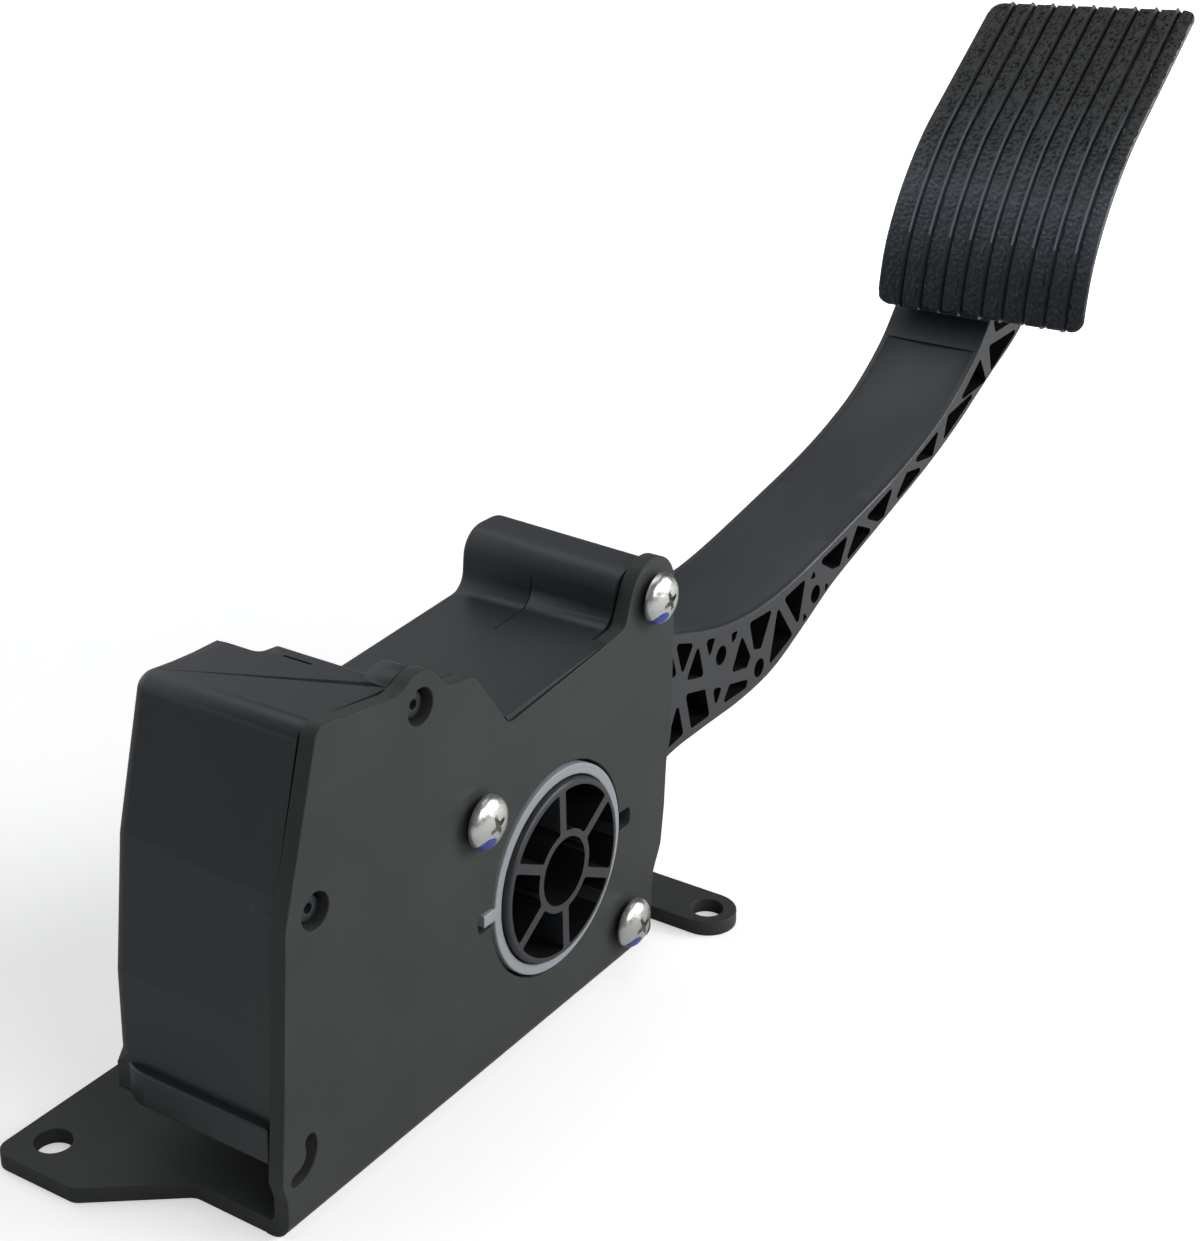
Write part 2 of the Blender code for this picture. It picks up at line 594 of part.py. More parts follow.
def make_housing(plastic):
    """The moulded shell with its saddle, screw bosses, posts, friction seat and spigot."""
    shell = slab("housing", [rounded(HOUSING_OUTLINE)], HOUSING_NEAR, FAR_OUT)
    round_far_edges(shell, FAR_CORNER, LIP_TOP + FAR_CORNER)
    lip_outline = [(LIP_LEFT, HOUSING_NEAR + SEAM, 0.4), (LIP_LEFT, FAR_OUT - SEAM, LIP_CORNER),
                   (SPRING_X - OUTER_COIL_R, FAR_OUT - SEAM, 0), (SPRING_X - OUTER_COIL_R, HOUSING_NEAR + SEAM, 0)]
    lip = slab("housing_lip", [rounded(lip_outline)], FLOOR_Z + SEAM, LIP_TOP, "XY", cutter=True)
    combine(shell, [lip], "UNION", "MANIFOLD")
    cavity = slab("housing_cavity", [rounded(CAVITY_OUTLINE)], HOUSING_NEAR - 1, FAR_IN, cutter=True)
    notch = block("block_notch", (NOTCH_X, NOTCH_Y, SADDLE_Z - 0.5), (BLOCK_RIGHT + 1, FAR_OUT + 1, HOUSE_TOP + 2),
                  cutter=True)
    notch_wall = block("block_notch_wall", (NOTCH_X - NOTCH_WALL, NOTCH_Y - NOTCH_WALL, SADDLE_Z - 3.0),
                       (BLOCK_RIGHT - 0.6, FAR_OUT - 0.8, CEILING_Z + 0.4), cutter=True)
    combine(shell, [cavity], "DIFFERENCE", "MANIFOLD")
    combine(shell, [notch_wall], "UNION", "MANIFOLD")
    combine(shell, [notch], "DIFFERENCE", "MANIFOLD")
    far_edge = FAR_OUT - 0.6
    bosses = []
    for name, (x, z) in SCREWS.items():
        bosses.append(drum(name + "_boss", SCREW_BOSS_R, HOUSING_NEAR, far_edge, x, z, 20, cutter=True))
    for name, (x, z) in POSTS.items():
        bosses.append(drum("post_%s_boss" % name, 5.6, HOUSING_NEAR, HOUSING_NEAR + 5.0, x, z, 20, cutter=True))
        bosses.append(drum("post_" + name, POST_HOLE_R - FIT - 0.2, PLATE_IN - 0.9, HOUSING_NEAR + 6.0, x, z, 14,
                           cutter=True))
    flange = [(BLOCK_RIGHT - 1.0, 66.0, 0), (BLOCK_RIGHT - 1.0, 83.6, 1), (-33.0, 81.0, 1), (-24.6, 79.6, 3), (-14.2, 66.3, 1)]
    bosses.append(slab("saddle_flange", [rounded(flange)], HOUSING_NEAR, HOUSING_NEAR + WALL, cutter=True))
    seat_in = SHOE_INNER_R + SHOE_T + FIT
    seat = ring_sector(seat_in, seat_in + SEAT_WALL, SHOE_ANGLES[0] - 4, SHOE_ANGLES[1] + 6)
    bosses.append(slab("friction_seat", [seat], -SHOE_HALF - 2, FAR_OUT - 1.0, cutter=True))
    bosses.append(upright("bumper_pillar", BUMPER_R + 1.5, FLOOR_Z + 1, LEVER_LOW - FIT * 2 - BUMPER_H, BUMPER_X, 0,
                          cutter=True))
    bosses.append(upright("spring_ring", OUTER_COIL_R + 1.2, SPRING_TOP, CEILING_Z + 1.0, SPRING_X, 0, 24, cutter=True))
    bosses.append(upright("spring_spigot", SPIGOT_R, CEILING_Z - 6.0, CEILING_Z + 2.0, SPRING_X, 0, 16, cutter=True))
    for index, (x, z) in enumerate(COVER_SCREWS):
        bosses.append(drum("cover_boss_%d" % (index + 1), COVER_BOSS_R - 0.4, FAR_IN - 2.0, far_edge, x, z, 12,
                           cutter=True))
    bosses.append(drum("bearing_boss", JOURNAL_R + 4.5, ARM_FAR + 1.0, far_edge, 0, HUB_Z, 28, cutter=True))
    combine(shell, bosses, "UNION", "MANIFOLD")
    holes = []
    for name, (x, z) in SCREWS.items():
        depth = HOUSING_NEAR + SCREW_LENGTH
        holes.append(drum(name + "_bore", SCREW_SHANK_R + FIT, HOUSING_NEAR - 1, depth, x, z, 14, cutter=True))
    for index, (x, z) in enumerate(COVER_SCREWS):
        holes.append(drum("cover_bore_%d" % (index + 1), 1.5, FAR_IN - 0.8, FAR_OUT + 1, x, z, 10, cutter=True))
    bore = JOURNAL_R + FIT + FAR_BUSH_WALL + FIT
    holes.append(drum("bearing_bore", bore, ARM_FAR, FAR_OUT + 1, 0, HUB_Z, 28, cutter=True))
    combine(shell, holes, "DIFFERENCE", "MANIFOLD")
    return finish(shell, plastic)


# Arm

def truss_nodes():
    """Every truss node by name, set in from the arm's outer edges."""
    nodes = dict(MID_NODES)
    for edge, steps, side in ((smooth(UPPER_CHORD), UPPER_NODES, -1), (smooth(LOWER_CHORD[:14]), LOWER_NODES, 1)):
        x = 0.0
        for name, step in steps.items():
            x += step
            nodes[name] = (x, height_at(edge, x) + side * ARM_FLANGE)
    return nodes


def pocket(corners):
    """Outline of one pocket, with its corners broken."""
    return rounded([(x, z, POCKET_CORNER) for x, z in corners], 130, 1)


def pocket_loops():
    """The blind pockets between the ribs of the arm."""
    nodes = truss_nodes()
    loops = []
    for names in POCKETS:
        corners = inset([nodes[name] for name in names], RIB_WIDTH / 2)
        if area(corners) > 2.5:
            loops.append(pocket(corners))
    loops += [pocket(corners) for corners in PAD_POCKETS]
    return loops


def window_loops(inner, outer):
    """The windows between the hub's spokes."""
    loops = []
    for index in range(SPOKE_COUNT):
        start = SPOKE_START + index * 360 / SPOKE_COUNT
        stop = start + 360 / SPOKE_COUNT
        wide = math.degrees(math.asin(SPOKE_WIDTH / 2 / outer))
        tight = math.degrees(math.asin(SPOKE_WIDTH / 2 / inner))
        rim = arc(0, HUB_Z, outer, start + wide, stop - wide, 4)
        core = arc(0, HUB_Z, inner, stop - tight, start + tight, 2)
        corners = [(x, z, 1.2 if place in (0, 4) else 0.0) for place, (x, z, _) in enumerate(rim)]
        corners += [(x, z, 0.8 if place in (0, 2) else 0.0) for place, (x, z, _) in enumerate(core)]
        loops.append(rounded(corners, 50))
    return loops


def carrier_loop():
    """Section of the curved plate behind the pad."""
    face = smooth(PAD_FACE, 2)[1:-1]
    front = shifted(face, -(PAD_T + FIT))
    back = shifted(face, -(PAD_T + FIT + CARRIER_T))
    return front + back[::-1]


def arm_outline():
    """Outline of the arm, from the hub out to the plate behind the pad and back."""
    face = smooth(PAD_FACE, 2)
    top = shifted(face, -(PAD_T + FIT + CARRIER_T / 3))[1:13]
    neck_x, neck_z = UPPER_CHORD[-1]
    upper = [point for point in smooth(UPPER_CHORD) if point[0] < neck_x - CARRIER_T / 3]
    lower = smooth(LOWER_CHORD)
    return upper + [point for point in top if point[1] > neck_z - CARRIER_T / 3] + lower[::-1]


def make_arm(nylon, parent):
    """The pedal arm in one moulding: hub, truss-ribbed beam, short lever and pad carrier."""
    arm = slab("pedal_arm", [arm_outline()], ARM_NEAR, ARM_FAR)
    hub = drum("hub_drum", HUB_R, HUB_FACE, ARM_FAR, 0, HUB_Z, 48, cutter=True)
    journal = drum("hub_journal", JOURNAL_R, ARM_FAR - 1, FAR_OUT + 1.0, 0, HUB_Z, 28, cutter=True)
    lever_shape = [(-9.0, 46.5, 0), (-28.0, 38.5, 8), (-40.0, LEVER_TOP, 6), (-62.5, LEVER_TOP, 2),
                   (-64.0, LEVER_LOW, 2), (-44.0, LEVER_LOW, 8), (-14.0, 29.5, 0)]
    lever = slab("short_lever", [rounded(lever_shape)], -LEVER_WIDTH / 2, LEVER_WIDTH / 2, cutter=True)
    carrier = slab("pad_carrier", [carrier_loop()], PAD_Y - PAD_WIDTH / 2 + CARRIER_INSET,
                   PAD_Y + PAD_WIDTH / 2 - CARRIER_INSET, cutter=True)
    combine(arm, [hub, journal, lever, carrier], "UNION")

    web = ARM_WEB / 2
    loops = pocket_loops()
    cuts = [slab("near_pockets", loops, ARM_NEAR - 1, -web, cutter=True),
            slab("far_pockets", loops, web, ARM_FAR + 1, cutter=True)]
    windows = window_loops(HUB_BORE_R + HUB_BORE_WALL, HUB_R - HUB_RIM)
    cuts.append(slab("hub_windows", windows, HUB_FACE - 1, -web, cutter=True))
    far_windows = window_loops(JOURNAL_R + 1.2, HUB_R - HUB_RIM)
    cuts.append(slab("far_windows", far_windows, web, ARM_FAR + 1, cutter=True))
    cuts.append(drum("hub_bore", HUB_BORE_R, HUB_FACE - 1, -web, 0, HUB_Z, 24, cutter=True))
    cuts.append(drum("magnet_pocket", MAGNET_R + FIT, FAR_OUT + 1.0 - MAGNET_T, FAR_OUT + 2, 0, HUB_Z, 20, cutter=True))
    upper = [point for point in smooth(UPPER_CHORD) if HOUSE_RIGHT < point[0] < PANEL_X]
    dish = shifted(upper, -DISH_DEPTH) + shifted(upper, DISH_DEPTH * 4)[::-1]
    cuts.append(slab("top_dish", [dish], ARM_NEAR + DISH_RIM, ARM_FAR - DISH_RIM, cutter=True))
    combine(arm, cuts, "DIFFERENCE")

    bosses = []
    holes = []
    for index, (x, z) in enumerate(PIN_BOSSES):
        number = str(index + 1)
        bosses.append(drum("pin_boss_" + number, PIN_BOSS_R, ARM_NEAR + 0.2, ARM_FAR - 0.2, x, z, 14, cutter=True))
        for side, face in (("near", ARM_NEAR), ("far", ARM_FAR)):
            inward = PIN_HOLE_DEPTH if face < 0 else -PIN_HOLE_DEPTH
            low, high = sorted((face * 1.1, face + inward))
            holes.append(drum("pin_hole_%s_%s" % (number, side), PIN_HOLE_R, low, high, x, z, 12, cutter=True))
    combine(arm, bosses, "UNION")
    combine(arm, holes, "DIFFERENCE")
    return finish(arm, nylon, parent)


# Pad

def pad_section():
    """Across the pad: distance from its middle and height of the face above its base level."""
    half = PAD_WIDTH / 2
    edge = 1.2
    points = [(-half, -PAD_T), (-half, -edge), (-half + edge * 0.3, -edge * 0.3), (-half + edge, 0.0)]
    pitch = PAD_WIDTH / (PAD_RIBS + 1)
    for index in range(PAD_RIBS):
        rib = -half + pitch * (index + 1)
        points += [(rib - PAD_RIB_W - PAD_GROOVE_W, 0.0), (rib - PAD_RIB_W - PAD_GROOVE_W * 0.7, -PAD_GROOVE_D),
                   (rib - PAD_RIB_W - PAD_GROOVE_W * 0.3, -PAD_GROOVE_D), (rib - PAD_RIB_W, PAD_RIB_H),
                   (rib - PAD_RIB_W * 0.4, PAD_RIB_H), (rib, 0.0)]
    points += [(half - edge, 0.0), (half - edge * 0.3, -edge * 0.3), (half, -edge), (half, -PAD_T)]
    return points


def make_pad(rubber, parent):
    """The ribbed rubber pad: its section is carried along the curved face."""
    face = smooth(PAD_FACE, 2)
    section = pad_section()
    work = bmesh.new()
    rows = []
    for index, (x, z) in enumerate(face):
        back = Vector(face[max(index - 1, 0)])
        ahead = Vector(face[min(index + 1, len(face) - 1)])
        along = (ahead - back).normalized()
        row = []
        for across, height in section:
            place = Vector((x - along.y * height, PAD_Y + across, z + along.x * height)) * MM
            row.append(work.verts.new(place))
        rows.append(row)
    count = len(section)
    for row, following in zip(rows, rows[1:]):
        for index in range(count):
            after = (index + 1) % count
            work.faces.new((row[index], row[after], following[after], following[index]))
    work.faces.new(rows[0])
    work.faces.new(rows[-1][::-1])
    bmesh.ops.recalc_face_normals(work, faces=work.faces)
    mesh = bpy.data.meshes.new("pedal_pad")
    work.to_mesh(mesh)
    work.free()
    pad = show(bpy.data.objects.new("pedal_pad", mesh), False)
    corners = []
    for end, inner in ((0, 1), (-1, -2)):
        tip = Vector((face[end][0], 0.0, face[end][1]))
        along = (Vector((face[inner][0], 0.0, face[inner][1])) - tip).normalized()
        across = Vector((0.0, 1.0, 0.0))
        for side in (-1, 1):
            corners.append(corner_cutter("pad_corner_%d_%d" % (end + 1, side + 1), tip, along, across * side))
    combine(pad, corners, "DIFFERENCE")
    return finish(pad, rubber, parent)


def corner_cutter(name, tip, along, outward):
    """What is cut away to round one corner of the pad."""
    corner = tip + Vector((0.0, PAD_Y, 0.0)) + outward * PAD_WIDTH / 2
    deep = along.cross(outward).normalized()
    over = 2.0
    flat = [(-over, -over), (PAD_CORNER, -over)]
    for step in range(6):
        angle = math.radians(270 - 90 * step / 5)
        flat.append((PAD_CORNER + PAD_CORNER * math.cos(angle), PAD_CORNER + PAD_CORNER * math.sin(angle)))
    flat.append((-over, PAD_CORNER))
    work = bmesh.new()
    near = []
    far = []
    for across, up in flat:
        base = corner - outward * across + along * up
        near.append(work.verts.new((base + deep * (PAD_T + 4.0)) * MM))
        far.append(work.verts.new((base - deep * (PAD_T + 4.0)) * MM))
    work.faces.new(near)
    work.faces.new(far[::-1])
    count = len(flat)
    for index in range(count):
        after = (index + 1) % count
        work.faces.new((near[after], near[index], far[index], far[after]))
    bmesh.ops.remove_doubles(work, verts=work.verts, dist=0.001 * MM)
    bmesh.ops.recalc_face_normals(work, faces=work.faces)
    mesh = bpy.data.meshes.new(name)
    work.to_mesh(mesh)
    work.free()
    return show(bpy.data.objects.new(name, mesh), True)


# Small pieces

def make_bushings(acetal):
    """The near ring with its ear in the plate's notch, and the ring in the far wall."""
    ring = slab("near_bushing", [round_hole(0, HUB_Z, BUSH_OUT_R, 36), round_hole(0, HUB_Z, BUSH_IN_R, 36)],
                PLATE_OUT + 0.2, PLATE_OUT + 0.2 + BUSH_LENGTH)
    ear_tip = BUSH_OUT_R + NOTCH_REACH - 1.0
    ear = block("bushing_ear", (-ear_tip, PLATE_OUT + 0.2, HUB_Z - NOTCH_HALF + 0.9),
                (-BUSH_OUT_R + 0.6, PLATE_IN - 0.4, HUB_Z + NOTCH_HALF - FIT), cutter=True)
    combine(ring, [ear], "UNION")
    finish(ring, acetal)
    inner = JOURNAL_R + FIT
    far = slab("far_bushing", [round_hole(0, HUB_Z, inner + FAR_BUSH_WALL, 28), round_hole(0, HUB_Z, inner, 28)],
               ARM_FAR + 1.0, FAR_OUT - 0.2)
    finish(far, acetal)


def make_screws(zinc):
    """The three pan-head screws that hold the housing to the plate."""
    head_low = PLATE_OUT - FIT
    for name, (x, z) in SCREWS.items():
        profile = [(0.0, head_low - SCREW_HEAD_H), (SCREW_HEAD_R * 0.45, head_low - SCREW_HEAD_H * 0.93),
                   (SCREW_HEAD_R * 0.78, head_low - SCREW_HEAD_H * 0.68), (SCREW_HEAD_R * 0.97, head_low - SCREW_HEAD_H * 0.3),
                   (SCREW_HEAD_R, head_low), (SCREW_SHANK_R, head_low),
                   (SCREW_SHANK_R, HOUSING_NEAR + SCREW_LENGTH - 1.5), (SCREW_SHANK_R * 0.5, HOUSING_NEAR + SCREW_LENGTH - 0.6),
                   (0.0, HOUSING_NEAR + SCREW_LENGTH - 0.6)]
        screw = turned(name, profile[::-1], x, z)
        arms = []
        for index, (half_x, half_z) in enumerate(((1.9, 0.42), (0.42, 1.9))):
            arms.append(block("%s_recess_%d" % (name, index), (x - half_x, head_low - SCREW_HEAD_H - 1, z - half_z),
                              (x + half_x, head_low - SCREW_HEAD_H + 1.5, z + half_z), cutter=True))
        combine(screw, arms, "DIFFERENCE")
        finish(screw, zinc)


def make_springs(wire, cup, parent):
    """Two nested springs between the lever's cup and the top of the housing."""
    low = LEVER_TOP + FIT + SEAT_T + FIT
    high = SPRING_TOP - FIT
    finish(coil("outer_spring", OUTER_COIL_R, OUTER_WIRE_R, OUTER_TURNS, low, high), wire)
    finish(coil("inner_spring", INNER_COIL_R, INNER_WIRE_R, INNER_TURNS, low, high, 9), wire)
    seat = upright("spring_seat", SEAT_R, LEVER_TOP + FIT, LEVER_TOP + FIT + SEAT_T, SPRING_X, 0, 28)
    spigot = upright("seat_spigot", SPIGOT_R, LEVER_TOP + FIT + 0.5, LEVER_TOP + SEAT_T + 6.0, SPRING_X, 0, 16, cutter=True)
    combine(seat, [spigot], "UNION")
    finish(seat, cup, parent)


def make_stop_and_shoe(rubber, liner):
    """The idle stop under the lever and the friction shoe on the hub."""
    top = LEVER_LOW - FIT
    finish(upright("idle_bumper", BUMPER_R, top - BUMPER_H, top, BUMPER_X, 0, 18), rubber)
    shoe = ring_sector(SHOE_INNER_R, SHOE_INNER_R + SHOE_T, *SHOE_ANGLES)
    finish(slab("friction_shoe", [shoe], -SHOE_HALF, SHOE_HALF), liner)


COVER_NEAR = FAR_OUT + FIT + GASKET_T + FIT
COVER_OUT = COVER_NEAR + COVER_DEPTH
BOARD_NEAR = COVER_NEAR + 1.3
SOCKET_X = -40.0
SOCKET_Z = (21.0, 42.0)
SOCKET_WALL = 1.6
CHIP_T = 1.2


def cover_box(grow):
    """Outline of the cover's box, grown outwards."""
    x0, x1 = COVER_X[0] + 4.5 - grow, COVER_X[1] - 4.5 + grow
    z0, z1 = COVER_Z[0] + 1.5 - grow, COVER_Z[1] - 1.5 + grow
    return [(x0, z0, 4), (x0, z1, 4), (x1, z1, 4), (x1, z0, 4)]


def make_sensor(plastic, seal_rubber, laminate, chip_plastic, brass, steel, magnet_black, parent):
    """The magnet in the hub, and the sensor that reads it under its cover."""
    end = FAR_OUT + 1.0
    finish(drum("hub_magnet", MAGNET_R, end - MAGNET_T + FIT, end, 0, HUB_Z, 20), magnet_black, parent)

    grow = 2.0
    ears = [round_hole(x, z, 1.9, 10) for x, z in COVER_SCREWS]
    rim = rounded([(x0, z0, 3.6) for x0, z0 in ((COVER_X[0] - 3.6, COVER_Z[0] - 3.6), (COVER_X[0] - 3.6, COVER_Z[1] + 3.6),
                                                (COVER_X[1] + 3.6, COVER_Z[1] + 3.6), (COVER_X[1] + 3.6, COVER_Z[0] - 3.6))])
    window = rounded(cover_box(-1.0))
    finish(slab("sensor_gasket", [rim, window] + ears, FAR_OUT + FIT, FAR_OUT + FIT + GASKET_T), seal_rubber)

    cover = slab("sensor_cover", [rim, rounded(cover_box(0.0))] + ears, COVER_NEAR, COVER_NEAR + COVER_FLANGE_T)
    box = slab("cover_box", [rounded(cover_box(grow))], COVER_NEAR + 0.4, COVER_OUT, cutter=True)
    socket = block("cover_socket", (SOCKET_X, COVER_NEAR + 0.8, SOCKET_Z[0]), (COVER_X[0] + 5.5, COVER_OUT - 0.6, SOCKET_Z[1]),
                   cutter=True)
    combine(cover, [box, socket], "UNION")
    room = slab("cover_room", [rounded(cover_box(0.0))], COVER_NEAR - 1, COVER_OUT - COVER_WALL, cutter=True)
    mouth = block("socket_mouth", (SOCKET_X - 1, COVER_NEAR + 0.8 + SOCKET_WALL, SOCKET_Z[0] + SOCKET_WALL),
                  (COVER_X[0] + 4.5 - grow, COVER_OUT - 0.6 - SOCKET_WALL, SOCKET_Z[1] - SOCKET_WALL), cutter=True)
    cuts = [room, mouth]
    middle_y = (COVER_NEAR + 0.8 + COVER_OUT - 0.6) / 2
    middle_z = sum(SOCKET_Z) / 2
    pins = []
    for index in range(PIN_COUNT):
        row, column = divmod(index, PIN_COUNT // 2)
        y = middle_y + (row - 0.5) * PIN_PITCH * 0.8
        z = middle_z + (column - 1) * PIN_PITCH * 1.5
        pins.append((y, z))
        half = PIN_SIDE / 2 + 0.2
        cuts.append(block("pin_hole_%d" % (index + 1), (COVER_X[0] + 1, y - half, z - half),
                          (COVER_X[0] + 6, y + half, z + half), cutter=True))
    combine(cover, cuts, "DIFFERENCE")
    posts = []
    for x, z in ((-14.0, 23.0), (14.0, 23.0), (-14.0, 48.5), (14.0, 48.5)):
        posts.append(drum("board_post_%d_%d" % (x, z), 1.6, BOARD_NEAR + BOARD_T + FIT, COVER_OUT - 1.0, x, z, 10, cutter=True))
    combine(cover, posts, "UNION")
    finish(cover, plastic)

    board = block("circuit_board", (-BOARD_W / 2, BOARD_NEAR, BOARD_Z[0]),
                  (BOARD_W / 2, BOARD_NEAR + BOARD_T, BOARD_Z[1]))
    finish(board, laminate)
    for index, x in enumerate((-3.4, 3.4)):
        chip = block("hall_sensor_%d" % (index + 1), (x - 2.2, BOARD_NEAR - FIT - CHIP_T, HUB_Z - 2.6),
                     (x + 2.2, BOARD_NEAR - FIT, HUB_Z + 2.6))
        finish(chip, chip_plastic)
    half = PIN_SIDE / 2
    for index, (y, z) in enumerate(pins):
        pin = block("terminal_%d" % (index + 1), (SOCKET_X + 7.0, y - half, z - half),
                    (COVER_X[0] + 8.0, y + half, z + half))
        finish(pin, brass)
    for index, (x, z) in enumerate(COVER_SCREWS):
        seat = COVER_NEAR + COVER_FLANGE_T + FIT
        profile = [(0.0, seat + 1.9), (1.7, seat + 1.7), (2.9, seat + 0.9), (3.0, seat), (1.2, seat),
                   (1.2, FAR_IN - 0.2), (0.0, FAR_IN - 0.2)]
        screw = turned("cover_screw_%d" % (index + 1), profile, x, z, sides=12)
        finish(screw, steel)


def main():
    """Build every piece in its place."""
    clear_scene()
    steel = material("black_coated_steel", (0.072, 0.077, 0.072), 0.0, 0.42)
    plastic = material("black_moulded_plastic", (0.020, 0.022, 0.026), 0.0, 0.38)
    nylon = material("glass_filled_nylon", (0.026, 0.028, 0.030), 0.0, 0.45)
    rubber = material("grained_rubber", (0.012, 0.013, 0.015), 0.0, 0.6)
    acetal = material("pale_acetal", (0.29, 0.31, 0.34), 0.0, 0.35)
    zinc = material("bright_zinc", (0.75, 0.76, 0.74), 1.0, 0.22)
    wire = material("spring_wire", (0.35, 0.35, 0.36), 1.0, 0.35)
    laminate = material("green_laminate", (0.02, 0.12, 0.05), 0.0, 0.4)
    brass = material("tinned_brass", (0.7, 0.62, 0.4), 1.0, 0.3)
    liner = material("friction_liner", (0.16, 0.12, 0.08), 0.0, 0.7)

    axis = bpy.data.objects.new("pedal_axis", None)
    axis.location = (0.0, 0.0, HUB_Z * MM)
    PARTS.objects.link(axis)
    bpy.context.view_layer.update()

    make_bracket(steel)
    make_housing(plastic)
    make_arm(nylon, axis)
    make_pad(rubber, axis)
    make_bushings(acetal)
    make_screws(zinc)
    make_springs(wire, acetal, axis)
    make_stop_and_shoe(rubber, liner)
    make_sensor(plastic, rubber, laminate, plastic, brass, zinc, plastic, axis)


main()
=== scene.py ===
"""Accelerator pedal of a commercial vehicle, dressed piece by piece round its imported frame.

Sizes are in millimetres and become metres where a mesh is made.  +X runs from the hub to
the pad, +Y from the steel plate into the housing, +Z up, and the floor is at zero.
"""

import math

import bmesh
import bpy
from mathutils import Matrix, Vector, noise
from mathutils.bvhtree import BVHTree


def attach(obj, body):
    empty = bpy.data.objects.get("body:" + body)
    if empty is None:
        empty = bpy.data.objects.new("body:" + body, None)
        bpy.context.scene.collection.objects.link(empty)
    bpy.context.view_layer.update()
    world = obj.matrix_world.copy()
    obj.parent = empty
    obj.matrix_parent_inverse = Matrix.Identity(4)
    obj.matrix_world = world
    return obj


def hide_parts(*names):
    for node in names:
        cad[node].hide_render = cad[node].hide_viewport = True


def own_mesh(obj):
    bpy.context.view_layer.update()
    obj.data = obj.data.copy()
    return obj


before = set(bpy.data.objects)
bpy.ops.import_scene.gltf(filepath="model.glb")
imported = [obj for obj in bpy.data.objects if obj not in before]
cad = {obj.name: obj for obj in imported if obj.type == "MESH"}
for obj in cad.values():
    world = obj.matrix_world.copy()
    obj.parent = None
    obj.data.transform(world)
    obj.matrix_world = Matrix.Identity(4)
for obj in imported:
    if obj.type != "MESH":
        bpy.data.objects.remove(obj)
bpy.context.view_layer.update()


# The studio: a white floor that runs into a white backdrop, two broad lamps from the
# plate's side, a weak one over the top, and the camera where the photograph's stood.
# The lamps stay dim enough for black plastic to keep its own colour.

MM = 0.001
CAMERA_PLACE = (-284.36, -210.67, 234.04)
CAMERA_AZIMUTH = -57.1      # turned from +Y towards +X by this much
CAMERA_ELEVATION = 24.0
CAMERA_ROLL = 0.88
FOCAL_PIXELS = 2207.8       # measured on a frame 1241 pixels high
FRAME_PIXELS = 1241
SENSOR = 36.0
ROOM_LIGHT = 0.03
GLOWS = [((0, 1, 0.35), 1.2), ((-1, 0, 0.35), 0.15), ((0, 0, 1), 0.09)]     # directions and strengths
GLOW_POWER = 3.0            # a higher power makes each glow narrower
FLOOR_HALF = 3000.0
FLOOR_FADE = (0.2, 0.6)     # metres from the hub between which the floor brightens to white
scene = bpy.context.scene
scene.view_settings.view_transform = "Standard"


def srgb(colour):
    """A hex colour as linear red, green, blue and alpha."""
    channels = [int(colour[place:place + 2], 16) / 255 for place in (1, 3, 5)]
    return [c / 12.92 if c <= 0.04045 else ((c + 0.055) / 1.055) ** 2.4 for c in channels] + [1.0]


def node(tree, kind, settings=(), links=()):
    """Add a node, set its sockets and properties by name, and link other nodes' outputs into it."""
    made = tree.nodes.new("ShaderNode" + kind)
    for name, value in dict(settings).items():
        if isinstance(name, int) or name in made.inputs:
            made.inputs[name].default_value = value
        else:
            setattr(made, name, value)
    for name, (source, output) in dict(links).items():
        tree.links.new(source.outputs[output], made.inputs[name])
    return made


def place_camera():
    """The photograph's camera, from its place, direction and focal length."""
    azimuth = math.radians(CAMERA_AZIMUTH)
    elevation = math.radians(CAMERA_ELEVATION)
    forward = Vector((-math.sin(azimuth) * math.cos(elevation), math.cos(azimuth) * math.cos(elevation),
                      -math.sin(elevation)))
    right = forward.cross(Vector((0, 0, 1))).normalized()
    up = right.cross(forward)
    roll = math.radians(CAMERA_ROLL)
    right, up = (math.cos(roll) * right + math.sin(roll) * up, math.cos(roll) * up - math.sin(roll) * right)
    lens = bpy.data.cameras.new("camera")
    lens.sensor_width = SENSOR
    lens.lens = FOCAL_PIXELS * SENSOR / FRAME_PIXELS
    lens.clip_start = 0.01
    camera = bpy.data.objects.new("camera", lens)
    turn = Matrix((right, up, -forward)).transposed().to_4x4()
    camera.matrix_world = Matrix.Translation(Vector(CAMERA_PLACE) * MM) @ turn
    scene.collection.objects.link(camera)
    scene.camera = camera


def place_lamp(name, place, target, size, power):
    """A square softbox that looks at a point."""
    light = bpy.data.lights.new(name, "AREA")
    light.shape = "RECTANGLE"
    light.size, light.size_y = size[0] * MM, size[1] * MM
    light.energy = power
    lamp = bpy.data.objects.new(name, light)
    turn = (Vector(target) - Vector(place)).to_track_quat("-Z", "Y").to_matrix().to_4x4()
    lamp.matrix_world = Matrix.Translation(Vector(place) * MM) @ turn
    scene.collection.objects.link(lamp)


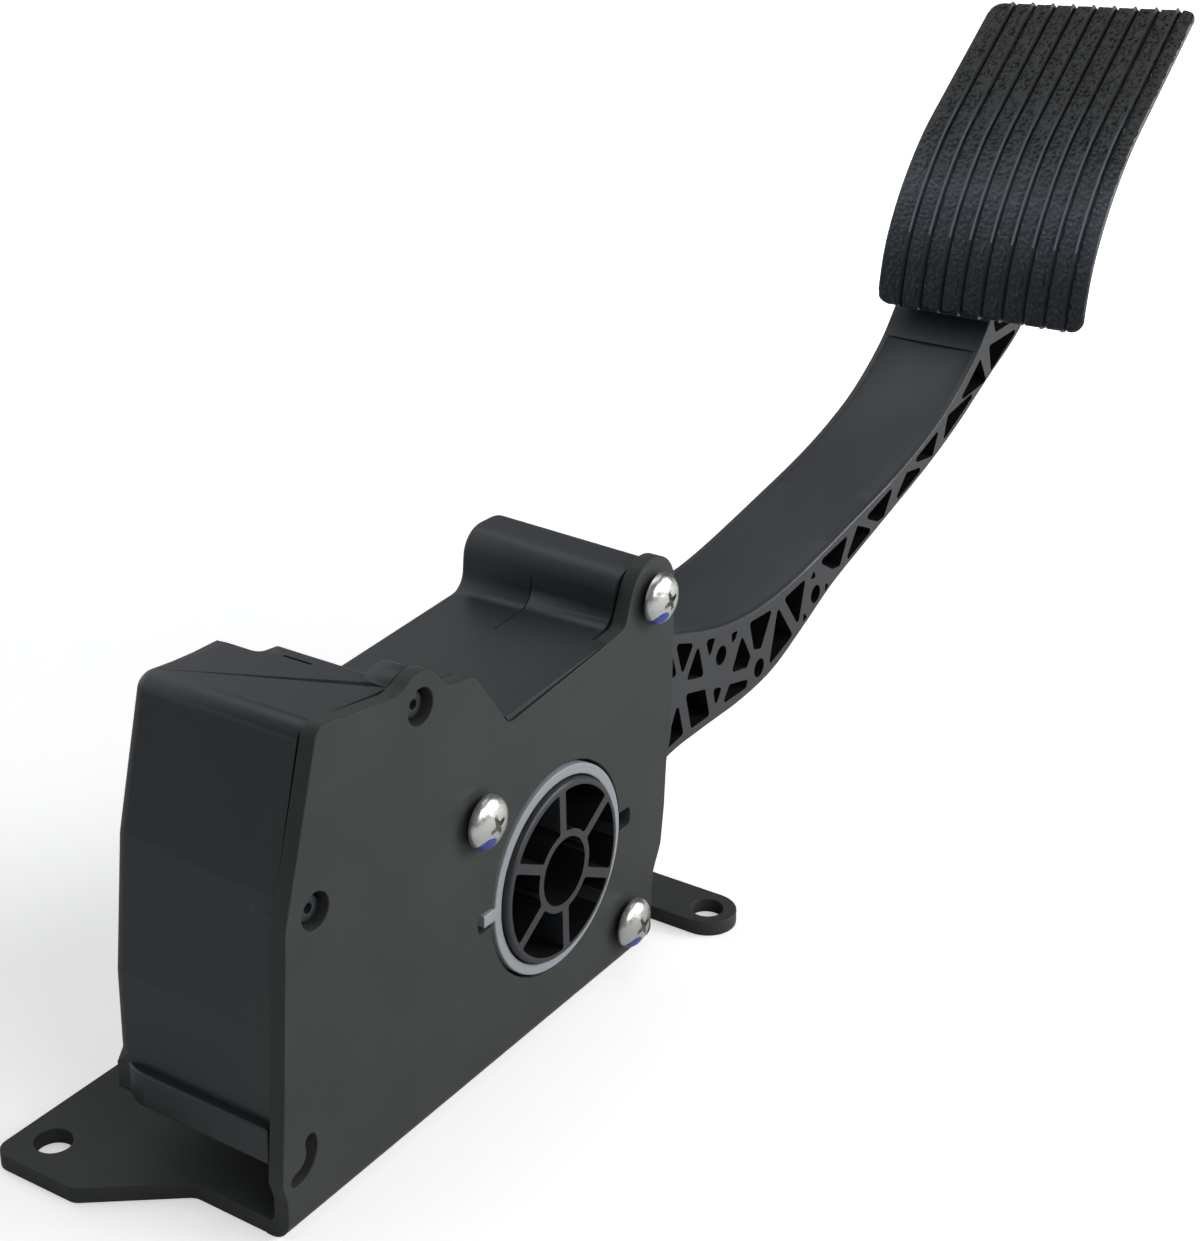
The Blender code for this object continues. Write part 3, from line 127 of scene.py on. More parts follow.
def light_world():
    """White to the camera, and to the object a dim room with broad glows behind, at the left and above."""
    world = bpy.data.worlds.new("studio")
    scene.world = world
    world.use_nodes = True
    tree = world.node_tree
    tree.nodes.clear()
    where = node(tree, "TexCoord")
    total = None
    for towards, strength in GLOWS:
        way = Vector(towards).normalized()
        facing = node(tree, "VectorMath", {"operation": "DOT_PRODUCT", 1: way},
                      {0: (where, "Generated")})
        ahead = node(tree, "Math", {"operation": "MAXIMUM", 1: 0.0}, {0: (facing, "Value")})
        narrow = node(tree, "Math", {"operation": "POWER", 1: GLOW_POWER}, {0: (ahead, 0)})
        sum_links = {0: (narrow, 0), 2: (total, 0)} if total else {0: (narrow, 0)}
        total = node(tree, "Math", {"operation": "MULTIPLY_ADD", 1: strength, 2: ROOM_LIGHT}, sum_links)
    soft = node(tree, "Background", {"Color": srgb("#f4f6f8")}, {"Strength": (total, 0)})
    white = node(tree, "Background", {"Color": srgb("#ffffff"), "Strength": 1.0})
    path = node(tree, "LightPath")
    both = node(tree, "MixShader", links={0: (path, "Is Camera Ray"), 1: (soft, 0), 2: (white, 0)})
    node(tree, "OutputWorld", links={"Surface": (both, 0)})


def lay_floor():
    """The white floor: it glows a little to the camera, so that only the contact shadow shows."""
    mesh = bpy.data.meshes.new("floor")
    half = FLOOR_HALF * MM
    corners = [(-half, -half, 0), (half, -half, 0), (half, half, 0), (-half, half, 0)]
    mesh.from_pydata(corners, [], [(0, 1, 2, 3)])
    floor = bpy.data.objects.new("floor", mesh)
    floor.location.z = -0.02 * MM
    scene.collection.objects.link(floor)
    paper = bpy.data.materials.new("white_paper")
    paper.use_nodes = True
    tree = paper.node_tree
    tree.nodes.clear()
    matt = node(tree, "BsdfDiffuse", {"Color": srgb("#f2f2f2")})
    where = node(tree, "TexCoord")
    far = node(tree, "VectorMath", {"operation": "LENGTH"}, {0: (where, "Object")})
    fade = node(tree, "MapRange", {"From Min": FLOOR_FADE[0], "From Max": FLOOR_FADE[1],
                                             "To Min": 0.42, "To Max": 1.0}, {"Value": (far, "Value")})
    glow = node(tree, "Emission", {"Color": srgb("#ffffff")}, {"Strength": (fade, "Result")})
    lit = node(tree, "AddShader", links={0: (matt, 0), 1: (glow, 0)})
    path = node(tree, "LightPath")
    dull = node(tree, "BsdfDiffuse", {"Color": srgb("#d0d0d0")})
    both = node(tree, "MixShader", links={0: (path, "Is Camera Ray"), 1: (dull, 0), 2: (lit, 0)})
    node(tree, "OutputMaterial", links={"Surface": (both, 0)})
    mesh.materials.append(paper)


place_camera()
place_lamp("plate_softbox", (-120, -900, 650), (0, 0, 50), (900, 700), 5.0)
place_lamp("front_softbox", (700, -900, 500), (60, 0, 40), (700, 700), 10.5)
place_lamp("top_softbox", (250, 150, 1000), (60, 0, 60), (800, 600), 1.3)
light_world()
lay_floor()


# The mounting bracket: 3 mm sheet steel, laser-cut and folded once, then coated black by
# electrodeposition.  The side plate carries the housing, and the flange bolts to the floor
# by a foot at each end.

ARM_WIDTH = 25.0
ARM_SIDE_GAP = 3.0
FIT = 0.3
PLATE_T = 3.0
PLATE_IN = -ARM_WIDTH / 2 - ARM_SIDE_GAP
PLATE_OUT = PLATE_IN - PLATE_T
BEND_R = 4.0
HUB_Z = 32.5
HUB_R = 17.4
BUSH_WALL = 2.05
BUSH_IN_R = HUB_R + FIT
BUSH_OUT_R = BUSH_IN_R + BUSH_WALL
HUB_HOLE_R = BUSH_OUT_R + 2 * FIT
NOTCH_REACH = 3.7
NOTCH_HALF = 1.9
SCREW_CLEAR_R = 2.75
POST_HOLE_R = 3.2
FOOT_HOLE_R = 3.25
FLAT_AREA = 30.0            # a face larger than this, in square millimetres, is shaded flat
COPLANAR = 0.3              # faces that meet at less than this angle become one
FINE_MESH = 30000           # a mesh with more faces than this is left as it was built
SHEET_EDGE = 0.22           # rounding that the coating and deburring leave
SCREWS = {"screw_top": (30.1, 75.0), "screw_middle": (-23.6, 53.4), "screw_lower": (23.4, 9.9)}
POSTS = {"a": (-38.7, 80.4), "b": (-65.6, 56.7)}
PLATE_LEFT = -75.2
PLATE_RIGHT = 32.6
FOOT_X, FOOT_Y = -80.1, 28.7
TAB_X, TAB_R = 46.0, 5.9
TAB_HOLE_Y = PLATE_OUT - 4.9
FLANGE_FAR = 21.5
SLOPE = ((-14.7, 67.5), (20.9, 71.6))       # the plate's edge below the saddle, from notch to lobe


def arc(cx, cy, radius, start, stop, steps):
    """Points on an arc, angles in degrees, as corners with no fillet."""
    points = []
    for step in range(steps + 1):
        angle = math.radians(start + (stop - start) * step / steps)
        points.append((cx + radius * math.cos(angle), cy + radius * math.sin(angle), 0.0))
    return points


def rounded(corners, step=9.0):
    """Replace each corner (x, y, radius) by an arc of that radius."""
    points = []
    count = len(corners)
    for index, (x, y, radius) in enumerate(corners):
        here = Vector((x, y))
        before = Vector(corners[index - 1][:2]) - here
        after = Vector(corners[(index + 1) % count][:2]) - here
        if radius <= 0.0:
            points.append((x, y))
            continue
        half = before.angle(after) / 2
        if half > math.radians(88.5) or half < math.radians(2.0):
            points.append((x, y))
            continue
        reach = min(radius / math.tan(half), 0.45 * before.length, 0.45 * after.length)
        radius = reach * math.tan(half)
        middle = here + (before.normalized() + after.normalized()).normalized() * (radius / math.sin(half))
        first = here + before.normalized() * reach - middle
        last = here + after.normalized() * reach - middle
        turn = first.angle_signed(last)
        pieces = max(2, int(abs(math.degrees(turn)) / step + 0.5))
        for piece in range(pieces + 1):
            spoke = first.copy()
            spoke.rotate(Matrix.Rotation(-turn * piece / pieces, 2))
            points.append(tuple(middle + spoke))
    return points


def round_hole(x, y, radius, sides=40):
    """A round hole as a loop of points."""
    return [point[:2] for point in arc(x, y, radius, 0, 360 - 360 / sides, sides - 1)]


def plane_matrix(plane, middle):
    """Lay a flat drawing in its plane, with its middle at this place on the third axis."""
    columns = {"XZ": ((1, 0, 0), (0, 0, 1), (0, -1, 0), (0, middle, 0)),
               "XY": ((1, 0, 0), (0, 1, 0), (0, 0, 1), (0, 0, middle)),
               "YZ": ((0, 1, 0), (0, 0, 1), (1, 0, 0), (middle, 0, 0))}[plane]
    matrix = Matrix.Identity(4)
    for index, column in enumerate(columns):
        for row in range(3):
            matrix[row][index] = column[row] * (MM if index == 3 else 1.0)
    return matrix


def skinned(name, work):
    """A new object from a bmesh, with its faces turned outwards."""
    bmesh.ops.recalc_face_normals(work, faces=work.faces)
    mesh = bpy.data.meshes.new(name)
    work.to_mesh(mesh)
    work.free()
    return added(name, mesh)


def cleaned(mesh):
    """Join loose caps to their sides and turn the faces outwards."""
    work = bmesh.new()
    work.from_mesh(mesh)
    bmesh.ops.remove_doubles(work, verts=work.verts, dist=0.003 * MM)
    bmesh.ops.recalc_face_normals(work, faces=work.faces)
    work.to_mesh(mesh)
    work.free()
    return mesh


def added(name, mesh):
    """A new object with this mesh."""
    obj = bpy.data.objects.new(name, mesh)
    scene.collection.objects.link(obj)
    return obj


def worked_out(obj):
    """The object's mesh, as its modifiers or curve settings make it."""
    bpy.context.view_layer.update()
    return bpy.data.meshes.new_from_object(obj.evaluated_get(bpy.context.evaluated_depsgraph_get()))


def slab(name, loops, low, high, plane="XZ", edge=0.0):
    """Flat outlines given a thickness along the third axis, with rounded edges."""
    curve = bpy.data.curves.new(name, "CURVE")
    curve.dimensions = "2D"
    curve.fill_mode = "BOTH"
    curve.extrude = ((high - low) / 2 - edge) * MM
    curve.bevel_depth = edge * MM
    curve.offset = -edge * MM
    curve.bevel_resolution = 2
    for loop in loops:
        spline = curve.splines.new("POLY")
        spline.points.add(len(loop) - 1)
        for point, place in zip(spline.points, loop):
            point.co = (place[0] * MM, place[1] * MM, 0.0, 1.0)
        spline.use_cyclic_u = True
    outline = added(name + "_outline", curve)
    mesh = worked_out(outline)
    mesh.transform(plane_matrix(plane, (low + high) / 2))
    bpy.data.objects.remove(outline, do_unlink=True)
    return added(name, cleaned(mesh))


def combined(target, others, operation):
    """Join or cut the target with other solids, which are then used up."""
    for other in others:
        step = target.modifiers.new(other.name, "BOOLEAN")
        step.operation = operation
        step.solver = "MANIFOLD"
        step.object = other
    mesh = worked_out(target)
    target.modifiers.clear()
    target.data = mesh
    for other in others:
        bpy.data.objects.remove(other, do_unlink=True)
    return target


def softened(obj, width, angle=32, segments=2):
    """Round what sharp edges a solid has left."""
    step = obj.modifiers.new("edges", "BEVEL")
    step.width = width * MM
    step.segments = segments
    step.limit_method = "ANGLE"
    step.angle_limit = math.radians(angle)
    step.miter_outer = "MITER_ARC"
    step.use_clamp_overlap = True
    mesh = worked_out(obj)
    obj.modifiers.clear()
    obj.data = mesh
    return obj


def dressed(obj, finish, body, replaced=(), smooth=28):
    """Give a piece its finish and smooth faces, and set it on its body in place of CAD nodes.

    A large face stays flat, so that the small roundings beside it don't bend its shading."""
    obj.data.materials.clear()
    obj.data.materials.append(finish)
    if len(obj.data.polygons) < FINE_MESH:
        work = bmesh.new()
        work.from_mesh(obj.data)
        bmesh.ops.dissolve_limit(work, angle_limit=math.radians(COPLANAR), verts=work.verts,
                                 edges=work.edges)
        work.to_mesh(obj.data)
        work.free()
    obj.data.shade_smooth()
    obj.data.set_sharp_from_angle(angle=math.radians(smooth))
    for face in obj.data.polygons:
        if face.area > FLAT_AREA * MM ** 2:
            face.use_smooth = False
    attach(obj, body)
    if replaced:
        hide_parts(*replaced)
    return obj


def second_finish(obj, finish, chosen):
    """Give the faces that `chosen` picks a finish of their own."""
    obj.data.materials.append(finish)
    for face in obj.data.polygons:
        if chosen(face):
            face.material_index = 1


def new_finish(name):
    """An empty material with its shader and the object's own coordinates in metres."""
    material = bpy.data.materials.new(name)
    material.use_nodes = True
    tree = material.node_tree
    shader = tree.nodes["Principled BSDF"]
    where = node(tree, "TexCoord")
    return material, tree, shader, where


def spots(tree, where, size, detail=2.0):
    """A field of soft spots this many millimetres wide."""
    return node(tree, "TexNoise", {"Scale": 1 / (size * MM), "Detail": detail},
                {"Vector": (where, "Object")})


def coloured(tree, shader, field, band):
    """Colour the surface by a field, from stops (value, colour) in rising order."""
    tone = node(tree, "ValToRGB", links={"Fac": field})
    ramp = tone.color_ramp.elements
    for place, _ in band[1:-1]:
        ramp.new(place)
    for stop, (place, colour) in zip(ramp, band):
        stop.position, stop.color = place, srgb(colour)
    tree.links.new(tone.outputs["Color"], shader.inputs["Base Color"])


def glossed(tree, shader, field, low, high):
    """Vary the roughness between two values by a field."""
    gloss = node(tree, "MapRange", {"To Min": low, "To Max": high}, {"Value": field})
    tree.links.new(gloss.outputs["Result"], shader.inputs["Roughness"])


def embossed(tree, shader, field, strength, depth):
    """Give the skin a relief this many millimetres deep from a field."""
    skin = node(tree, "Bump", {"Strength": strength, "Distance": depth * MM}, {"Height": field})
    tree.links.new(skin.outputs["Normal"], shader.inputs["Normal"])


def coated_steel():
    """Electrodeposited black on steel: a dark olive grey with a satin skin and faint orange peel."""
    material, tree, shader, where = new_finish("electrocoated_steel")
    cloud = (spots(tree, where, 18, 4.0), "Fac")
    peel = (spots(tree, where, 0.7, 3.0), "Fac")
    coloured(tree, shader, cloud, ((0.35, "#3a3c3b"), (0.7, "#3f4140")))
    glossed(tree, shader, cloud, 0.36, 0.46)
    embossed(tree, shader, peel, 0.12, 0.05)
    shader.inputs["Specular IOR Level"].default_value = 0.15
    return material


def hub_hole():
    """Outline of the hub hole with a notch at each side for the bushing's ears."""
    half = math.degrees(math.asin(NOTCH_HALF / HUB_HOLE_R))
    reach = HUB_HOLE_R + NOTCH_REACH
    corners = arc(0, HUB_Z, HUB_HOLE_R, half, 180 - half, 40)
    corners += [(-reach, HUB_Z + NOTCH_HALF, 1.2), (-reach, HUB_Z - NOTCH_HALF, 1.2)]
    corners += arc(0, HUB_Z, HUB_HOLE_R, 180 + half, 360 - half, 40)
    corners += [(reach, HUB_Z - NOTCH_HALF, 1.2), (reach, HUB_Z + NOTCH_HALF, 1.2)]
    return rounded(corners)


def crescent():
    """The curved slot near the plate's lower corner."""
    cx, cz, middle, half, first, last = -73.0, 15.0, 4.1, 1.3, -88, 18
    slot = arc(cx, cz, middle + half, first, last, 12)
    slot += arc(*arc(cx, cz, middle, last, last, 1)[0][:2], half, last, last + 180, 6)
    slot += arc(cx, cz, middle - half, last, first, 12)
    slot += arc(*arc(cx, cz, middle, first, first, 1)[0][:2], half, first + 180, first + 360, 6)
    return [point[:2] for point in slot]


def fold_bracket():
    """The plate, the fold and the flange, joined into one sheet."""
    plate_outline = ([(PLATE_LEFT, BEND_R, 0), (PLATE_LEFT, 8.0, 1.5), (-76.2, 11.5, 2), (-74.7, 28, 12),
                      (-72.6, 56.5, 6), (-70.6, 63, 8), (-63.5, 87.1, 2.4), (-45.0, 84.4, 3)]
                     + arc(-38.7, 80.4, 6.0, 128, 28, 12)
                     + [(-31.2, 81.2, 2.2), (-24.2, 80.0, 4), (SLOPE[0][0], SLOPE[0][1], 3.0),
                        (SLOPE[1][0], SLOPE[1][1], 2.5)]
                     + arc(30.3, 74.7, 7.7, 165, 5, 20)
                     + [(38.3, 44.0, 6), (36.9, 38.5, 4), (36.5, 29.0, 8), (35.6, 21.0, 5), (33.0, 15.8, 4),
                        (PLATE_RIGHT, BEND_R, 0)])
    holes = [hub_hole(), crescent()]
    holes += [round_hole(x, z, SCREW_CLEAR_R) for x, z in SCREWS.values()]
    holes += [round_hole(x, z, POST_HOLE_R) for x, z in POSTS.values()]
    plate = slab("mounting_bracket_coated", [rounded(plate_outline)] + holes, PLATE_OUT, PLATE_IN,
                 edge=SHEET_EDGE)
    flange_outline = ([(PLATE_LEFT, PLATE_OUT + BEND_R, 0), (PLATE_LEFT, 1.6, 3), (-87.4, 17.0, 2.5),
                       (FOOT_X - 7.6, FOOT_Y + 6.8, 3.2), (-46.0, FOOT_Y + 6.8, 4), (-34.0, FLANGE_FAR, 4),
                       (TAB_X + TAB_R, FLANGE_FAR, 4)]
                      + arc(TAB_X, TAB_HOLE_Y, TAB_R, 0, -180, 20)
                      + [(TAB_X - TAB_R, PLATE_IN + 3.5, 2), (PLATE_RIGHT + 2.0, PLATE_IN + 3.5, 1.5),
                         (PLATE_RIGHT, PLATE_OUT + BEND_R, 0)])
    feet = [round_hole(FOOT_X, FOOT_Y, FOOT_HOLE_R), round_hole(TAB_X, TAB_HOLE_Y, FOOT_HOLE_R)]
    flange = slab("flange", [rounded(flange_outline)] + feet, 0.0, PLATE_T, "XY", SHEET_EDGE)
    tail = 0.8
    bend_y = PLATE_OUT + BEND_R
    section = ([(PLATE_OUT, BEND_R + tail, 0)] + arc(bend_y, BEND_R, BEND_R, 180, 270, 14)
               + [(bend_y + tail, 0.0, 0), (bend_y + tail, PLATE_T, 0)]
               + arc(bend_y, BEND_R, BEND_R - PLATE_T, 270, 180, 8) + [(PLATE_IN, BEND_R + tail, 0)])
    fold = slab("fold", [section], PLATE_LEFT, PLATE_RIGHT, "YZ")
    return combined(plate, [flange, fold], "UNION")


steel = coated_steel()
dressed(fold_bracket(), steel, "root", ["mounting_bracket"])


# The housing: one shell injection-moulded in black glass-filled polyamide.  It is open
# towards the plate and towards the pad, with a spring block at one end, a saddle, and a
# barrel round the top screw.  The tool was spark-eroded, which leaves a fine even satin.

WALL = 2.5
FAR_GAP = 3.5
HOUSING_NEAR = PLATE_IN + FIT
FAR_IN = ARM_WIDTH / 2 + FAR_GAP
FAR_OUT = FAR_IN + WALL
HOUSE_LEFT = -73.9
LIP_LEFT = -75.5
LIP_TOP = 20.6
LIP_CORNER = 7.0
FLOOR_Z = 14.0
HOUSE_TOP = 86.6
BLOCK_RIGHT = -39.0
NOTCH_X, NOTCH_Y, NOTCH_WALL = -44.5, 9.5, 1.8
SADDLE_Z = 67.2
SADDLE_RIGHT = 21.4
SADDLE_RISE = 4.2
SADDLE_LIFT = 0.9           # the saddle is higher at the plate by this much
BARREL_DRAFT = 1.25         # and the barrel lower
BARREL_R = 7.4
CEILING_Z = HOUSE_TOP - 1.2 - WALL
SPRING_TOP = CEILING_Z - 1.1
SPRING_X = -52.0
OUTER_COIL_R = 8.2
SPIGOT_R = 4.2
FAR_CORNER = 2.6
SCREW_BOSS_R = 4.6
POST_R, POST_BORE_R, POST_BOSS_R = 2.4, 0.9, 5.6
CORE_LINE_Y, CORE_LINE_Z = 2.4, 79.2        # the fine line that the tool's core leaves on the barrel
CORE_LINE_W = 0.22
SCREW_SHANK_R = 2.4
SCREW_LENGTH = 16.0
SHOE_T = 2.3
SHOE_SPAN = (206.0, 250.0)
SHOE_HALF = 8.0
SEAT_WALL = 3.0
LEVER_LOW = 34.0
LEVER_TOP = 42.0
BUMPER_X, BUMPER_R, BUMPER_H = -53.0, 4.0, 4.6
COVER_X = (-23.0, 23.0)
COVER_Z = (17.0, 54.5)
COVER_BOSS_R, COVER_BORE_R = 3.2, 1.5
JOURNAL_R = 9.0
FAR_BUSH_WALL = 0.8
SEAM = 0.06                 # joined shapes end this far inside each other's faces


def drum(name, radius, low, high, x, z, sides=48, edge=0.0):
    """A round bar along Y at x, z."""
    return slab(name, [round_hole(x, z, radius, sides)], low, high, edge=edge)


def upright(name, radius, low, high, x, y, sides=40, edge=0.0):
    """A round bar along Z at x, y."""
    return slab(name, [round_hole(x, y, radius, sides)], low, high, "XY", edge)


def block(name, low, high, edge=0.0):
    """A box between two corners."""
    loop = [(low[0], low[1]), (high[0], low[1]), (high[0], high[1]), (low[0], high[1])]
    return slab(name, [loop], low[2], high[2], "XY", edge)


def ring_sector(inner, outer, start, stop, steps=14):
    """A curved bar about the hub axis."""
    points = arc(0, HUB_Z, outer, start, stop, steps) + arc(0, HUB_Z, inner, stop, start, steps)
    return [point[:2] for point in points]


def round_far_edges(obj, radius, chosen, segments=5):
    """Round the edges of the far face that a rule chooses by where they lie."""
    work = bmesh.new()
    work.from_mesh(obj.data)
    far = max(vert.co.y for vert in work.verts)
    edges = []
    for edge in work.edges:
        middle = (edge.verts[0].co + edge.verts[1].co) / 2 / MM
        flat = all(abs(vert.co.y - far) < 0.01 * MM for vert in edge.verts)
        if flat and any(abs(face.normal.y) < 0.5 for face in edge.link_faces) and chosen(middle):
            edges.append(edge)
    bmesh.ops.bevel(work, geom=edges, offset=radius * MM, segments=segments, profile=0.5, affect="EDGES",
                    clamp_overlap=False)
    work.to_mesh(obj.data)
    work.free()


def moulded_polyamide(name, dark, light, grain=0.22, rough=(0.34, 0.44), specular=0.62):
    """Glass-filled polyamide from a spark-eroded tool: even satin with faint flow clouds."""
    material, tree, shader, where = new_finish(name)
    cloud = (spots(tree, where, 25, 5.0), "Fac")
    pits = (spots(tree, where, grain), "Fac")
    coloured(tree, shader, cloud, ((0.35, dark), (0.7, light)))
    glossed(tree, shader, cloud, *rough)
    embossed(tree, shader, pits, 0.18, 0.03)
    shader.inputs["Specular IOR Level"].default_value = specular
    return material


def saddle_height(x):
    """Height of the saddle, which rises gently from the block to the barrel."""
    return SADDLE_Z - 0.6 + (x - BLOCK_RIGHT) * SADDLE_RISE / (SADDLE_RIGHT - BLOCK_RIGHT)


def slope_height(x):
    """Height of the plate's edge below the saddle."""
    (x0, z0), (x1, z1) = SLOPE
    return z0 + (x - x0) * (z1 - z0) / (x1 - x0)


def mould_housing():
    """The shell with its cavity, bosses, posts and the marks of its tool."""
    outline = [(HOUSE_LEFT, FLOOR_Z, 0.8), (HOUSE_LEFT, 22.0, 2), (-73.6, 37.0, 10), (-70.6, 61.0, 8),
               (-63.7, HOUSE_TOP, 3.4), (BLOCK_RIGHT, 84.0, 1.6),
               (BLOCK_RIGHT, saddle_height(BLOCK_RIGHT), 1.4),
               (SADDLE_RIGHT, saddle_height(SADDLE_RIGHT), 3.6),
               (22.4, 82.1, BARREL_R), (37.8, 82.1, BARREL_R), (37.6, 60.0, 0),
               (37.6, 30.0, 4), (32.9, 17.0, 1.5), (32.4, PLATE_T + FIT, 1.5), (16.5, PLATE_T + FIT, 1.5),
               (12.5, 9.2, 3), (-9.0, 9.2, 5), (-18.0, FLOOR_Z, 5)]
    shell = slab("housing_moulded", [rounded(outline)], HOUSING_NEAR, FAR_OUT)
    cleaned(shell.data)
    for vert in shell.data.vertices:
        x, y, z = vert.co / MM
        if y < 0.0 and BLOCK_RIGHT + 1.0 < x < 38.0 and z > 64.0:
            lift = SADDLE_LIFT * min(max((78.0 - z) / 6.0, 0.0), 1.0) if x < 24.0 else 0.0
            drop = BARREL_DRAFT * min(max((z - 76.0) / 6.0, 0.0), 1.0)
            vert.co.z += (lift - drop) * MM
    round_far_edges(shell, FAR_CORNER, lambda m: m.x < -46 and m.z > 24)
    round_far_edges(shell, 0.8, lambda m: m.x > -38 and m.z > 60)
    lip_outline = [(LIP_LEFT, HOUSING_NEAR + SEAM, 0.4), (LIP_LEFT, FAR_OUT - SEAM, LIP_CORNER),
                   (-60.0, FAR_OUT - SEAM, 0), (-60.0, HOUSING_NEAR + SEAM, 0)]
    lip = slab("lip", [rounded(lip_outline, 6)], FLOOR_Z + SEAM, LIP_TOP, "XY", 0.5)
    combined(shell, [lip], "UNION")
    cavity_outline = [(HOUSE_LEFT + 2.7, FLOOR_Z + WALL, 1.5), (-71.0, 37.0, 8), (-68.1, 61.0, 6),
                      (-61.6, CEILING_Z + 0.5, 2), (BLOCK_RIGHT - WALL, CEILING_Z - 1.0, 2),
                      (BLOCK_RIGHT - WALL, SADDLE_Z - 3.0, 1), (21.0, SADDLE_Z + 1.1 - WALL, 1),
                      (45.0, SADDLE_Z - 1.3, 0), (45.0, 17.0, 0), (28.6, 17.0, 2), (20.0, 14.9, 1),
                      (11.5, 9.2 + WALL, 3), (-8.4, 9.2 + WALL, 4), (-17.2, FLOOR_Z + WALL, 4)]
    cavity = slab("cavity", [rounded(cavity_outline)], HOUSING_NEAR - 1, FAR_IN)
    combined(shell, [cavity], "DIFFERENCE")
    step_wall = block("step_wall", (NOTCH_X - NOTCH_WALL, NOTCH_Y - NOTCH_WALL, SADDLE_Z - 3.0),
                      (BLOCK_RIGHT - 0.6, FAR_OUT - 0.8, CEILING_Z + 0.4))
    combined(shell, [step_wall], "UNION")
    step_outline = [(NOTCH_X, NOTCH_Y, 1.5), (NOTCH_X, FAR_OUT + 3, 0), (BLOCK_RIGHT + 1, FAR_OUT + 3, 0),
                    (BLOCK_RIGHT + 1, NOTCH_Y, 0)]
    step = slab("step", [rounded(step_outline)], SADDLE_Z - 0.5, HOUSE_TOP + 2, "XY")
    combined(shell, [step], "DIFFERENCE")

    far_edge = FAR_OUT - 0.6
    near_edge = HOUSING_NEAR + SEAM
    bosses = [drum(name + "_boss", SCREW_BOSS_R, near_edge, far_edge, x, z)
              for name, (x, z) in SCREWS.items()]
    for name, (x, z) in POSTS.items():
        bosses.append(drum("post_boss_" + name, POST_BOSS_R, near_edge, HOUSING_NEAR + 5.0, x, z))
        bosses.append(drum("post_" + name, POST_R, PLATE_IN - 1.5, HOUSING_NEAR + 6.0, x, z, 32, 0.5))
    flange = [(BLOCK_RIGHT - 1.0, 66.0, 0), (BLOCK_RIGHT - 1.0, 83.6, 1), (-33.0, 81.0, 1), (-24.6, 79.6, 3),
              (-14.2, 66.3, 1)]
    rim = [(-14.7, 68.1, 0.8), (15.0, slope_height(15.0) + FIT, 0),
           (15.0, saddle_height(15.0) + SADDLE_LIFT, 0), (-15.6, saddle_height(-15.6) + SADDLE_LIFT, 0)]
    seat_in = HUB_R + FIT + SHOE_T + FIT
    seat = ring_sector(seat_in, seat_in + SEAT_WALL, SHOE_SPAN[0] - 4, SHOE_SPAN[1] + 6)
    pillar_top = LEVER_LOW - FIT * 2 - BUMPER_H
    bosses += [slab("saddle_flange", [rounded(flange)], near_edge, HOUSING_NEAR + WALL, edge=0.3),
               slab("saddle_rim", [rounded(rim)], PLATE_OUT + 0.2, HOUSING_NEAR + 1.0),
               slab("friction_seat", [seat], -SHOE_HALF - 2, FAR_OUT - 1.0),
               upright("bumper_pillar", BUMPER_R + 1.5, FLOOR_Z + 1, pillar_top, BUMPER_X, 0),
               upright("spring_ring", OUTER_COIL_R + 1.2, SPRING_TOP, CEILING_Z + 1.0, SPRING_X, 0),
               upright("spring_spigot", SPIGOT_R, CEILING_Z - 6.0, CEILING_Z + 2.0, SPRING_X, 0)]
    covers = [(x, z) for x in COVER_X for z in COVER_Z]
    bosses += [drum("cover_boss", COVER_BOSS_R, FAR_IN - 2.0, far_edge, x, z, 24) for x, z in covers]
    bosses.append(drum("bearing_boss", JOURNAL_R + 4.5, ARM_WIDTH / 2 + 1.0, far_edge, 0, HUB_Z))
    combined(shell, bosses, "UNION")

    cuts = []
    screw_end = HOUSING_NEAR + SCREW_LENGTH
    for name, (x, z) in SCREWS.items():
        cuts.append(drum(name + "_bore", SCREW_SHANK_R + FIT, HOUSING_NEAR - 1, screw_end, x, z, 24))
    cuts += [drum("cover_bore", COVER_BORE_R, FAR_IN - 0.8, FAR_OUT + 1, x, z, 20) for x, z in covers]
    bore = JOURNAL_R + FIT + FAR_BUSH_WALL + FIT
    cuts += [drum("bearing_bore", bore, ARM_WIDTH / 2, FAR_OUT + 1, 0, HUB_Z),
             block("tool_slot", (-43.1, 0.0, HOUSE_TOP - 3.2), (-42.5, 5.9, HOUSE_TOP + 1))]
    for name, (x, z) in POSTS.items():
        cuts.append(drum("post_bore_" + name, POST_BORE_R, PLATE_IN - 3, HOUSING_NEAR + 4.0, x, z, 20))
    line, near, top = CORE_LINE_W, CORE_LINE_Y, CORE_LINE_Z
    rise = saddle_height(8.0) + SADDLE_LIFT / 2
    cuts += [block("core_line_y", (20.0, near, top), (21.95 + line, FAR_OUT + 1, top + line)),
             block("core_line_z", (20.0, near, 72.0), (21.75 + line, near + line, top + line)),
             block("core_line_x", (10.0, near, rise - line), (20.6, near + line, rise + 3))]
    combined(shell, cuts, "DIFFERENCE")
    return shell


housing_plastic = moulded_polyamide("spark_eroded_polyamide", "#1c2126", "#21262b")
dressed(softened(mould_housing(), 0.25, 40), housing_plastic, "root", ["housing"])


# The pedal arm: one long moulding in glass-filled nylon.  Hub, beam, short lever and the
# plate behind the pad are one piece, and the beam's pockets are cored from both sides, which
# leaves two flanges, a middle web and the slanting ribs of a truss.

